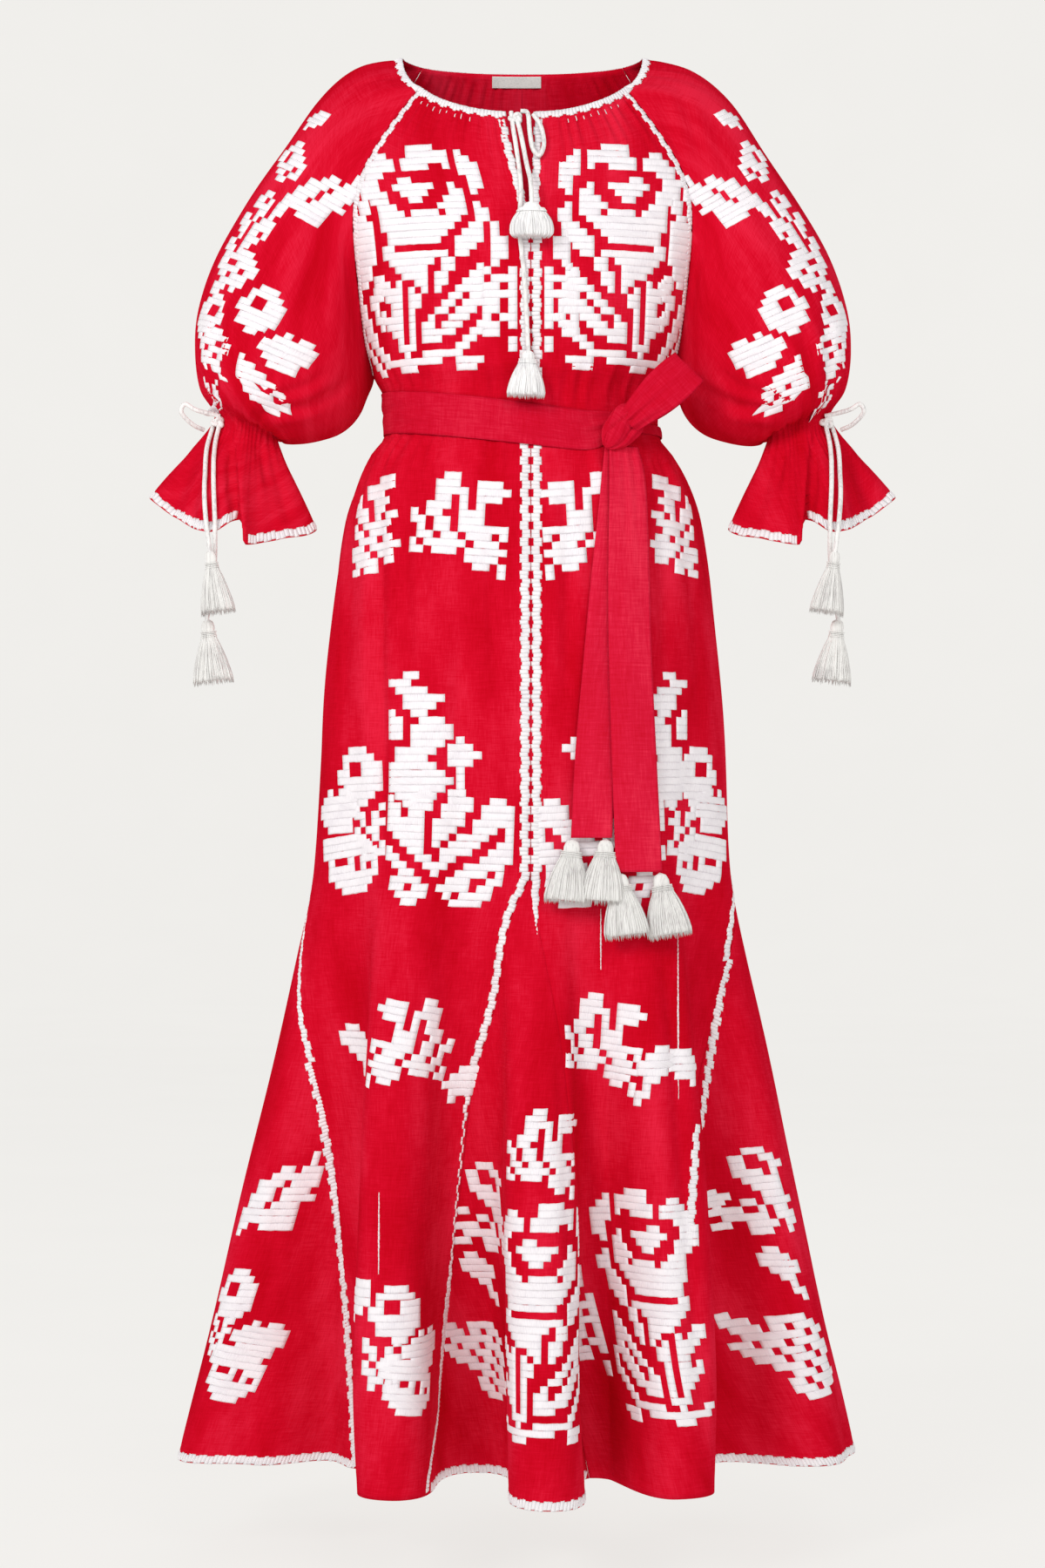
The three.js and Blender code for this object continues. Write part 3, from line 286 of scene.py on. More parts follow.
    def ring_point(self, z: Array, angle: Array) -> Array:
        """Points of the skirt and the waist, flutes and all.

        Args:
            z: height, in millimetres.
            angle: degrees round the body, from the front to the wearer's left.

        Returns:
            Points, in millimetres.
        """
        below = np.clip((z - self.godet_top_z) / (self.hem_z - self.godet_top_z), 0, 1)
        above = np.clip((z - self.flute_start_z) / (self.godet_top_z - self.flute_start_z), 0, 1)
        turned = np.array(angle, float)
        out = np.zeros_like(turned)
        for flute in self.flutes:
            centre = flute.hip_angle + (flute.hem_angle - flute.hip_angle) * below
            away = np.mod(angle - centre + 180, 360) - 180
            spread = np.where(away < 0, flute.spread[0], flute.spread[1]) * (1 + 0.7 * (1 - below))
            height = flute.knee * smooth(above) + (flute.hem - flute.knee) * below**1.2
            lean = np.where(away < 0, flute.lean[0], flute.lean[1]) * np.sqrt(below)
            share = away / spread
            near = np.abs(share) < 1
            out += np.where(near, height * (1 + np.cos(np.pi * share)) / 2, 0)
            turned += np.where(near, lean * spread * np.sin(2 * np.pi * share) / (2 * np.pi), 0)
        along = self.plain_ring(z, turned + 0.5) - self.plain_ring(z, turned - 0.5)
        away = unit(np.stack([along[..., 1], -along[..., 0], 0 * out], axis=-1))
        return self.plain_ring(z, turned) + away * out[..., None]

    def point(self, course: Array, angle: Array) -> Array:
        """Points of the body, of courses and angles of one shape.

        Args:
            course: the courses, counted down from the neckline.
            angle: degrees round the body, from the front to the wearer's left.

        Returns:
            Points, in millimetres.
        """
        course, angle = np.broadcast_arrays(np.asarray(course, float), np.asarray(angle, float))
        upper = self.yoke_point(np.clip(course, 0, self.yoke_courses), angle)
        lower = self.ring_point(np.minimum(self.height_of(course), self.armpit_z), angle)
        return np.where((course < self.yoke_courses)[..., None], upper, lower)

    def normal(self, course: Array, angle: Array) -> Array:
        """The body's outward directions.

        Args:
            course: the courses, counted down from the neckline.
            angle: degrees round the body, from the front to the wearer's left.

        Returns:
            One unit vector per point.
        """
        course = np.asarray(course, float)
        in_yoke = course < self.yoke_courses
        up = np.where(in_yoke, np.maximum(course - 0.05, 0), course - 0.05)
        down = np.where(in_yoke, np.minimum(course + 0.05, self.yoke_courses), course + 0.05)
        across = self.point(course, angle + 0.3) - self.point(course, angle - 0.3)
        return unit(np.cross(self.point(down, angle) - self.point(up, angle), across))

    def front_angle(self, course: Array, x: Array) -> Array:
        """The angle at which a course's cloth is x to the wearer's left of the middle.

        Args:
            course: the courses, counted down from the neckline.
            x: millimetres to the wearer's left.

        Returns:
            Angles in degrees.
        """
        course, x = np.broadcast_arrays(np.asarray(course, float), np.asarray(x, float))
        yoke = self.yoke_course("front", np.clip(course, 0, self.yoke_courses))["half_width"]
        ring = self.rings.at(self.height_of(course))["half_width"]
        half_width = np.where(course < self.yoke_courses, yoke, ring)
        return np.degrees(np.arcsin(np.clip(power_of(x / half_width, self.squareness / 2), -1, 1)))

    def centre_front_angle(self, course: Array, side: int) -> Array:
        """The angle of the slit's left (+1) or right (-1) edge, and of the seam below it.

        Args:
            course: the courses, counted down from the neckline.
            side: 1 on the wearer's left, -1 on the right.

        Returns:
            Angles in degrees.
        """
        yoke = self.yoke_course("front", np.clip(course, 0, self.yoke_courses))["centre_z"]
        z = np.where(course < self.yoke_courses, yoke, self.height_of(course))
        row = self.centre_front.at(np.maximum(z, self.godet_top_z))
        return self.front_angle(course, row["shift"] + side * np.maximum(row["half_slit"], 0))

    def edge(self, name: str, course: Array) -> Array:
        """The angle of a cut edge of the body on each course.

        Args:
            name: frontLeft, frontLeftSide, backLeftSide, backLeft, the same on the right, or
                frontLeftOver for the front left seam counted past a whole turn.
            course: the courses.

        Returns:
            Angles in degrees.
        """
        over = name == "frontLeftOver"
        name = "frontLeft" if over else name
        left = "Left" in name
        yoke_at = np.clip(course, 0, self.yoke_courses)
        if "Side" in name:
            raglan = self.raglan_angle("front" if name.startswith("front") else "back", yoke_at)
            yoke = raglan if left else 360 - raglan
            side = np.full_like(course, 90.0 if left else 270.0)
            seam = name.replace("LeftSide", "").replace("RightSide", "")
            column = f"side{'Left' if left else 'Right'}{seam.capitalize()}"
        elif name.startswith("front"):
            yoke = side = self.centre_front_angle(course, 1 if left else -1) + (0 if left else 360)
            column = name
        else:
            yoke = side = np.full_like(course, 180.0)
            column = name
        z = self.height_of(course)
        below = self.seams.at(np.minimum(z, self.godet_top_z))[column]
        angle = np.where(course < self.yoke_courses, yoke, np.where(z >= self.godet_top_z, side, below))
        return angle + (360 if over else 0)


FORM = DressForm()


# ---- cloth ---------------------------------------------------------------------------------------
def grid_normals(points: Array, around: bool = False) -> Array:
    """Outward directions of a grid of rows that run down the cloth.

    Args:
        points: rows x columns x 3.
        around: whether the last column comes round to the first.

    Returns:
        One unit vector per point.
    """
    down = np.gradient(points, axis=0)
    if around:
        across = np.roll(points, -1, axis=1) - np.roll(points, 1, axis=1)
        across[:, 0] = across[:, -1] = points[:, 1] - points[:, -2]
    else:
        across = np.gradient(points, axis=1)
    return unit(np.cross(down, across))


def evenly(line: Array, count: int) -> Array:
    """A line of points drawn again with this many, evenly spaced along its length."""
    lengths = running(line)
    return read_along(np.linspace(0, lengths[-1], count), lengths, line)


@dataclass
class Patch:
    """A surface with a pattern space: s runs across it, rising to the wearer's left or round a
    sleeve to the front, and v is the height or the way down it. Its columns are evenly spaced.

    Args:
        points: rows x columns x 3, in millimetres.
        start: s of each row's first column.
        down: v of each row, rising or falling.
        around: whether its last column comes round to its first.
        aligned: whether a column keeps its s on every row, however long the rows are.
        leaning: whether its rows aren't level.
    """

    points: Array
    start: Array
    down: Array
    around: bool = False
    aligned: bool = False
    leaning: bool = False

    def __post_init__(self) -> None:
        """Works out the normals and the columns' spacing."""
        self.normals = grid_normals(self.points, self.around)
        lengths = spans(self.points, 1).sum(axis=1)
        self.step = np.maximum(lengths / (self.points.shape[1] - 1), 1e-6)
        if self.aligned:
            self.step[:] = self.step.mean()

    def seat(self, x: float, z: float) -> tuple[float, float]:
        """s and v of the cloth seen x to the wearer's left at a height.

        Args:
            x: millimetres to the wearer's left.
            z: height, in millimetres.

        Returns:
            s and v.
        """
        if not self.leaning:
            return self.s_where(x, z), z
        far = np.hypot(self.points[..., 0] - x, self.points[..., 2] - z) + 1000 * (self.points[..., 1] > 10)
        r, c = np.unravel_index(int(np.argmin(far)), far.shape)
        return float(self.start[r] + c * self.step[r]), float(self.down[r])

    def at(self, s: Array, v: Array, off: Array | float = 0.0) -> Array:
        """Places on the cloth, or off it by some millimetres.

        Args:
            s: across.
            v: down.
            off: how far outside the cloth.

        Returns:
            Points, in millimetres.
        """
        s, v, off = np.broadcast_arrays(np.asarray(s, float), np.asarray(v, float), np.asarray(off, float))
        keys, wanted = (self.down, v) if self.down[0] < self.down[-1] else (-self.down, -v)
        row = np.clip(np.searchsorted(keys, wanted) - 1, 0, len(keys) - 2)
        share = (wanted - keys[row]) / (keys[row + 1] - keys[row])
        found = 0.0
        for r, weight in ((row, 1 - share), (row + 1, share)):
            place = (s - self.start[r]) / self.step[r]
            column = np.clip(np.floor(place).astype(int), 0, self.points.shape[1] - 2)
            part = (place - column)[..., None]
            point = self.points[r, column] * (1 - part) + self.points[r, column + 1] * part
            normal = self.normals[r, column] * (1 - part) + self.normals[r, column + 1] * part
            found = found + weight[..., None] * (point + unit(normal) * off[..., None])
        return found

    def edge(self, v: Array, last: bool) -> Array:
        """s of the cloth's first or last column at each v.

        Args:
            v: down.
            last: whether it is the last column.

        Returns:
            s at each v.
        """
        order = np.argsort(self.down)
        ends = self.start + (self.points.shape[1] - 1) * self.step if last else self.start
        return np.interp(v, self.down[order], ends[order])

    def s_where(self, x: float, v: float) -> float:
        """s of the foremost cloth that is x to the wearer's left, on the row nearest v.

        Args:
            x: millimetres to the wearer's left.
            v: down.

        Returns:
            s.
        """
        r = int(np.argmin(np.abs(self.down - v)))
        xs, depth = self.points[r, :, 0] - x, self.points[r, :, 1]
        cross = np.nonzero(xs[:-1] * xs[1:] <= 0)[0]
        if not len(cross):
            column = int(np.argmin(np.abs(xs)))
            return float(self.start[r] + column * self.step[r])
        column = cross[np.argmin(depth[cross])]
        part = xs[column] / (xs[column] - xs[column + 1] + 1e-12)
        return float(self.start[r] + (column + part) * self.step[r])

    def s_along(self, x: Array | float, v: Array) -> Array:
        """s of the foremost cloth at each of a line's places."""
        return np.array([self.s_where(float(a), b) for a, b in zip(np.broadcast_to(x, v.shape), v)])


class Unevenness:
    """Waves of uneven lengths, for creases that differ from one another. One seeded source."""

    def __init__(self, seed: int) -> None:
        """Starts the source."""
        self.source = np.random.default_rng(seed)

    def pleats(self, s: Array, v: Array, spacing: float, drift: float = 160.0) -> Array:
        """Gathers that run down the cloth, about a spacing apart and each its own width; -1 to 1.

        Args:
            s: across.
            v: down.
            spacing: from one gather to the next, about.
            drift: how far down the cloth they keep their line.

        Returns:
            The gathers' height at each place.
        """
        found = np.zeros(np.broadcast(s, v).shape)
        for share in (0.72, 0.9, 1.08, 1.37):
            phase, start, way = self.source.uniform(0, PHASES, 3)
            wander = 0.8 * np.sin(v / drift * PHASES + start) * np.cos(way)
            found += np.cos(TURN * s / (spacing * share) + phase + wander)
        return np.clip(found / 2.2, -1, 1)

    def swell(self, s: Array, v: Array, shortest: float, longest: float, tall: float = 2.0) -> Array:
        """A soft unevenness of the cloth, longer down it than across it by tall; about -1 to 1.

        Args:
            s: across.
            v: down.
            shortest: the shortest wave.
            longest: the longest.
            tall: how much longer the waves are down the cloth.

        Returns:
            The cloth's height at each place.
        """
        found = np.zeros(np.broadcast(s, v).shape)
        for _ in range(9):
            turn, phase = self.source.uniform(0, PHASES, 2)
            wave = TURN / self.source.uniform(shortest, longest)
            found += np.cos(wave * (np.cos(turn) * s + np.sin(turn) * v / tall) + phase)
        return found / 3.5


def placed(name: str, data: bpy.types.ID) -> bpy.types.Object:
    """An object of a mesh, a curve, a light or a camera, in the scene.

    Args:
        name: its name.
        data: what it shows.

    Returns:
        The object.
    """
    thing = bpy.data.objects.new(name, data)
    bpy.context.scene.collection.objects.link(thing)
    return thing


def mesh_object(name: str, shape: bmesh.types.BMesh) -> bpy.types.Object:
    """An object of a bmesh, smooth.

    Args:
        name: its name.
        shape: the shape, freed afterwards.

    Returns:
        The object.
    """
    mesh = bpy.data.meshes.new(name)
    shape.to_mesh(mesh)
    shape.free()
    mesh.shade_smooth()
    return placed(name, mesh)


def put(shape: bmesh.types.BMesh, places: Array) -> None:
    """Moves a shape's corners to their places, in metres.

    Args:
        shape: the shape.
        places: a place for each corner, in metres.
    """
    shape.verts.ensure_lookup_table()
    shape.verts.index_update()
    for vert, place in zip(shape.verts, places):
        vert.co = place


def mapped(shape: bmesh.types.BMesh, flat: Array) -> None:
    """Gives a shape its flat measure, in metres, from its corners'.

    Args:
        shape: the shape.
        flat: each corner's flat measure, in metres.
    """
    layer = shape.loops.layers.uv.new("flat")
    shape.verts.index_update()
    for face in shape.faces:
        for loop in face.loops:
            loop[layer].uv = flat[loop.vert.index]


def walled(piece: bpy.types.Object, thick: float) -> bpy.types.Object:
    """Gives a surface its thickness, in millimetres, inwards.

    Args:
        piece: the surface.
        thick: millimetres.

    Returns:
        The same piece.
    """
    wall = piece.modifiers.new("thickness", "SOLIDIFY")
    wall.thickness, wall.offset = thick * MM, -1
    return piece


def finished(piece: bpy.types.Object, material: bpy.types.Material, slot: str, *nodes: str) -> bpy.types.Object:
    """Dresses a piece, lets it ride on the dress, and has it stand for its solids.

    Args:
        piece: the piece.
        material: its finish.
        slot: not used.
        nodes: the solids that it replaces.

    Returns:
        The same piece.
    """
    piece.data.materials.clear()
    piece.data.materials.append(material)
    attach(piece, "root")
    if nodes:
        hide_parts(*nodes)
    triangles = sum(len(p.vertices) - 2 for p in piece.data.polygons) if piece.type == "MESH" else 0
    LOG.info("%s: %d triangles before its modifiers", piece.name, triangles)
    return piece


def sheet_on(name: str, points: Array, uv: Array, around: bool = False, thick: float = 0.5) -> bpy.types.Object:
    """A sheet of cloth from a flat grid whose corners are moved to their places.

    Args:
        name: the piece's name.
        points: rows x columns x 3, in millimetres; normals point out of the cloth's outer face.
        uv: rows x columns x 2, the cloth's own flat measure, in millimetres.
        around: whether the last column lies on the first.
        thick: the cloth's thickness, which grows inwards.

    Returns:
        The sheet, with its thickness as a modifier.
    """
    rows, columns = points.shape[:2]
    shape = bmesh.new()
    bmesh.ops.create_grid(shape, x_segments=columns - 1, y_segments=rows - 1, size=0.5, calc_uvs=False)
    cells = [(round((0.5 - v.co.y) * (rows - 1)), round((v.co.x + 0.5) * (columns - 1))) for v in shape.verts]
    row, column = np.array(cells).T
    mapped(shape, uv[row, column] * MM)
    put(shape, points[row, column] * MM)
    if around:
        bmesh.ops.remove_doubles(shape, verts=shape.verts, dist=2e-6)
    shape.normal_update()
    centre = rows // 2, columns // 2
    middle, outward = Vector(points[centre] * MM), Vector(grid_normals(points, around)[centre])
    near = min(shape.faces, key=lambda face: (face.calc_center_median() - middle).length)
    if near.normal.dot(outward) < 0:
        bmesh.ops.reverse_faces(shape, faces=shape.faces)
    return walled(mesh_object(name, shape), thick)


@dataclass(frozen=True)
class Crease:
    """A crease laid where it shows from the front: its line, its width and its depth."""

    line: tuple[tuple[float, float], ...]
    width: float
    depth: float

    def sink(self, x: Array, z: Array) -> Array:
        """How far the cloth sinks into the crease, or rises on a ridge where its depth is below zero.

        Args:
            x: to the wearer's left.
            z: height.

        Returns:
            Millimetres, falling off to each side and faded out at both ends.
        """
        line = np.array(self.line, float)
        steps = np.diff(line, axis=0)
        lengths = np.hypot(steps[:, 0], steps[:, 1])
        total, before = lengths.sum(), 0.0
        near, place = np.full(x.shape, np.inf), np.zeros(x.shape)
        for start, step, span in zip(line, steps, lengths):
            t = np.clip(((x - start[0]) * step[0] + (z - start[1]) * step[1]) / span**2, 0, 1)
            far = np.hypot(x - start[0] - t * step[0], z - start[1] - t * step[1])
            place = np.where(far < near, before + t * span, place)
            near = np.minimum(near, far)
            before += span
        ends = smooth(place / (0.3 * total) + 0.05) * smooth((total - place) / (0.3 * total) + 0.05)
        return self.depth * bell(near / self.width) * ends


def laid(creases: Sequence[Crease], move: Array, points: Array, front: Array) -> Array:
    """How far the cloth moves, with its creases laid where it faces the front.

    Args:
        creases: the creases.
        move: how far it moves without them.
        points: the cloth.
        front: 1 where it faces the front, 0 where it doesn't.

    Returns:
        Millimetres, outwards.
    """
    for crease in creases:
        move = move - crease.sink(points[..., 0], points[..., 2]) * front
    return move


FRONT_CREASES = tuple(Crease(*row) for row in (
    (((-141, -425), (-140, -600), (-137, -700), (-139, -830)), 6, 5.5),
    (((-152, -440), (-153, -640), (-150, -820)), 8, -2.6),
    (((-116, -425), (-112, -560), (-108, -640)), 7, 3.4),
    (((-60, -560), (-64, -700), (-58, -860)), 8, 3.0),
    (((-28, -420), (-31, -540), (-26, -640)), 6, 3.2),
    (((33, -940), (40, -1020), (50, -1220), (60, -1412)), 9, 5.0),
    (((56, -900), (62, -1020), (72, -1200), (84, -1412)), 12, -3.0),
    (((128, -815), (146, -960), (160, -1160), (178, -1412)), 8, 4.5),
    (((112, -850), (126, -1000), (138, -1180), (150, -1412)), 12, -2.0),
    (((80, -850), (79, -900), (80, -965)), 4, -1.8),
    (((-154, -860), (-160, -1050), (-172, -1250), (-186, -1400)), 9, 3.4),
    (((-100, -860), (-101, -1040), (-98, -1250)), 11, 2.2),
    (((-20, -900), (-26, -1050), (-34, -1230), (-40, -1410)), 9, 3.2),
    (((-222, -1010), (-248, -1180), (-270, -1380)), 9, 3.0),
    (((222, -1010), (246, -1180), (268, -1380)), 9, 3.0),
    (((128, -430), (136, -520), (140, -640)), 6, 4.0),
    (((-88, -402), (-86, -470), (-84, -560)), 6, 2.6),
    (((40, -405), (44, -520), (42, -660)), 7, 3.6),
    (((-125, -400), (-127, -460), (-126, -520)), 5, -2.0),
    (((-170, -450), (-174, -560), (-176, -700)), 8, 3.0),
    (((158, -440), (170, -560), (176, -700)), 8, 3.2),
    (((-96, -318), (-101, -345)), 5, 1.8),
    (((-64, -312), (-66, -348)), 5, 1.6),
    (((58, -310), (56, -348)), 5, 1.7),
    (((100, -312), (92, -350)), 6, 1.9),
    (((-40, -110), (-44, -190), (-48, -300)), 8, 1.4),
    (((44, -104), (47, -190), (52, -310)), 8, 1.4),
))
SLEEVE_CREASES = tuple(Crease(*row) for row in (
    (((268, -366), (240, -362), (208, -356), (180, -340), (160, -318)), 5.5, 5.0),
    (((262, -358), (238, -348), (208, -336), (186, -318)), 5, 3.6),
    (((250, -370), (222, -369), (196, -362)), 5, -2.6),
    (((264, -350), (240, -328), (220, -306)), 6, 2.4),
    (((262, -352), (250, -322), (232, -280)), 8, 2.6),
    (((282, -352), (280, -310), (268, -262)), 8, 2.4),
    (((300, -350), (299, -300), (298, -226)), 6, 4.0),
    (((312, -345), (314, -300), (309, -250)), 6, -1.8),
    (((150, -26), (164, -70), (176, -118)), 8, 2.6),
    (((136, -34), (146, -90), (152, -150)), 8, 2.2),
    (((176, -40), (192, -92), (208, -150)), 9, 1.6),
    (((216, -150), (224, -220), (218, -290)), 16, -1.8),
    (((290, -366), (285, -420), (275, -500)), 5, 5.0),
    (((252, -376), (246, -420), (236, -620)), 9, 3.0),
    (((262, -380), (256, -405), (246, -440)), 5, 3.6),
    (((306, -390), (312, -430), (318, -480)), 7, -3.0),
    (((322, -392), (336, -425), (350, -460)), 7, 3.6),
    (((246, -395), (236, -430), (226, -480)), 7, 3.6),
))


@dataclass(frozen=True)
class PanelPlan:
    """A cut piece of the body, between two seams and two courses."""

    name: str
    edges: tuple[str, str]
    columns: int
    godet: bool = False
    centre: str = "first"  # where s is 0: the first or last column, or the middle of every row


PANELS = (
    PanelPlan("front_left", ("frontLeft", "frontLeftSide"), 88),
    PanelPlan("back_left", ("backLeftSide", "backLeft"), 56, centre="last"),
    PanelPlan("back_right", ("backRight", "backRightSide"), 56),
    PanelPlan("front_right", ("frontRightSide", "frontRight"), 88, centre="last"),
    PanelPlan("godet_left", ("frontLeftSide", "backLeftSide"), 96, godet=True, centre="middle"),
    PanelPlan("godet_back", ("backLeft", "backRight"), 76, godet=True, centre="middle"),
    PanelPlan("godet_right", ("backRightSide", "frontRightSide"), 96, godet=True, centre="middle"),
    PanelPlan("godet_front", ("frontRight", "frontLeftOver"), 96, godet=True, centre="middle"),
)


@dataclass
class BodyCloth:
    """The eight cut pieces of the body: their folds come from the form, their creases are laid here."""

    yoke_rows: int = 70
    skirt_step: float = 6.4
    neck_gather: float = 1.6
    waist_gather: float = 1.6
    softness: float = 1.1
    slit_fall: float = 4.2
    seed: int = 11
    grids: dict[str, Array] = field(default_factory=dict)
    patches: dict[str, Patch] = field(default_factory=dict)

    def courses(self, godet: bool) -> Array:
        """The courses of a long panel's or a godet's rows.

        Args:
            godet: whether it is a godet.

        Returns:
            The courses.
        """
        hem, tip = FORM.course_at(FORM.hem_z), FORM.course_at(FORM.godet_start_z + 6)
        rows = int((FORM.armpit_z - FORM.hem_z) / self.skirt_step)
        if godet:
            return np.linspace(tip, hem, int((hem - tip) * FORM.ring_step / self.skirt_step) + 1)
        yoke = np.linspace(0, FORM.yoke_courses, self.yoke_rows, endpoint=False)
        return np.concatenate([yoke, np.linspace(FORM.yoke_courses, hem, rows)])

    @staticmethod
    def heights(courses: Array) -> Array:
        """z of each course; a yoke's is that of its middle."""
        return np.where(courses < FORM.yoke_courses, -70 - courses * 31.0, FORM.height_of(courses))

    def grid(self, plan: PanelPlan) -> tuple[Array, Array, Array]:
        """A panel's places, evenly spaced along each row.

        Args:
            plan: the panel.

        Returns:
            Its points, their angles, and its rows' courses.
        """
        courses = self.courses(plan.godet)
        first, last = (FORM.edge(name, courses) for name in plan.edges)
        shares = np.linspace(0, 1, 420)
        angles = first[:, None] + (last - first)[:, None] * shares
        points = FORM.point(courses[:, None], angles)
        wanted = np.linspace(0, 1, plan.columns)
        found = np.stack([np.interp(wanted * row[-1], row, turn) for row, turn in zip(running(points, 1), angles)])
        return FORM.point(courses[:, None], found), found, courses

    def creased(self, plan: PanelPlan, points: Array, angles: Array, courses: Array) -> Array:
        """The panel's points moved by its gathers, creases and hem.

        Args:
            plan: the panel.
            points: the cloth's points, rows x columns x 3.
            angles: their angles.
            courses: the rows' courses.

        Returns:
            The points, moved.
        """
        uneven = Unevenness(self.seed)
        turn = np.mod(angles, 360) / 360
        z = self.heights(courses)[:, None]
        round_it = turn * 900
        soft = uneven.swell(TURN * np.cos(TURN * turn) * 60, z + 300 * np.sin(TURN * turn), 60, 170, 2.6)
        skirt = smooth((FORM.armpit_z - z) / 120)
        move = self.softness * (0.35 + 0.65 * skirt) * soft
        s = running(points, 1)
        from_edge = np.minimum(s, s[:, -1:] - s)
        clear = smooth(from_edge / 9)
        if not plan.godet:
            neck = Unevenness(self.seed + hash_of(plan.name))
            down = running(points)
            fade = smooth((down - 5) / 10) * fading(down - 16, 36)
            gathers = neck.pleats(s * s[:1, -1:] / s[:, -1:], down, 10.5)
            move = move + self.neck_gather * fade * gathers * clear
            # The waist's gathers are deepest just below and above the sash, and flat under it.
            waist = bell((z + 392) / 26) + 0.7 * bell((z + 338) / 20)
            folds = Unevenness(self.seed + 5).pleats(round_it, z, 19)
            bowed = Unevenness(self.seed + 6).pleats(round_it, z, 44)
            long = bell((z + 420) / 90)
            band = -374.5 - 0.125 * np.minimum(points[..., 0], 60)
            sash = smooth((np.abs(z - band) - 16) / 14)
            move = move + sash * (self.waist_gather * folds * waist + 1.5 * bowed * long * skirt)
        # The seams and the hem's stitching line lie a little lower than the cloth.
        move = move - 0.7 * bell(from_edge / 2.4)
        move = move - 0.5 * bell((z - FORM.hem_z - 10) / 2.6)
        move = laid(FRONT_CREASES, move, points, smooth(-points[..., 1] / 30))
        moved = points + grid_normals(points) * move[..., None]
        if plan.name.startswith("front"):
            # The neckline's drawstring lets the slit's upper end fall open.
            apart = self.slit_fall * smooth((points[..., 2] + 196) / 120) * smooth((75 - np.abs(points[..., 0])) / 68)
            moved[..., 0] += apart * (1 if plan.name.endswith("left") else -1)
        return moved

    def make(self, finish: bpy.types.Material) -> dict[str, bpy.types.Object]:
        """Builds the panels and godets.

        Args:
            finish: the linen.

        Returns:
            The pieces by name.
        """
        pieces = {}
        for plan in PANELS:
            smooth_points, angles, courses = self.grid(plan)
            points = self.creased(plan, smooth_points, angles, courses)
            self.grids[plan.name] = points
            self.patches[plan.name] = self.level(plan, points)
            lengths = spans(points, 1).sum(axis=1)
            across = np.linspace(0, 1, plan.columns)[None, :] * lengths[:, None]
            height = self.heights(courses)
            start = self.starts(plan, lengths, height)
            uv = paired(across + start[:, None], height[:, None])
            piece = sheet_on(plan.name + "_cloth", points, uv)
            pieces[plan.name] = finished(piece, finish, "red_linen", plan.name)
        return pieces

    def level(self, plan: PanelPlan, points: Array) -> Patch:
        """The panel's pattern space, whose rows are level all the way up to the neckline.

        Args:
            plan: the panel.
            points: the cloth's points, rows x columns x 3.

        Returns:
            The patch.
        """
        top = FORM.godet_start_z + 5 if plan.godet else -74 if plan.name.startswith("front") else -6
        heights = np.arange(top, FORM.hem_z - 1e-6, -3.5)
        columns = points.transpose(1, 2, 0)
        rows = []
        for z in heights:
            line = [[np.interp(-z, -column[2], column[k]) for k in (0, 1)] + [z] for column in columns]
            rows.append(evenly(np.array(line), len(line)))
        rows = np.array(rows)
        return Patch(rows, self.starts(plan, spans(rows, 1).sum(axis=1), heights), heights)

    @staticmethod
    def starts(plan: PanelPlan, lengths: Array, heights: Array) -> Array:
        """s of each row's first column: measured from the centre seam or the row's middle.

        Below the godets' tops the middle of a long panel keeps its s, because the panel is cut straight.

        Args:
            plan: the panel.
            lengths: each row's length.
            heights: each row's height.

        Returns:
            s of each row's first column.
        """
        if plan.centre == "middle":
            return -lengths / 2
        at_top = np.interp(FORM.godet_top_z, heights[::-1], lengths[::-1])
        eased = np.where(heights < FORM.godet_top_z, (lengths + at_top) / 2, lengths)
        return eased - lengths if plan.centre == "first" else -eased


def hash_of(name: str) -> int:
    """A small number of a name's own, the same each run."""
    return sum((i + 1) * ord(letter) for i, letter in enumerate(name)) % 1000


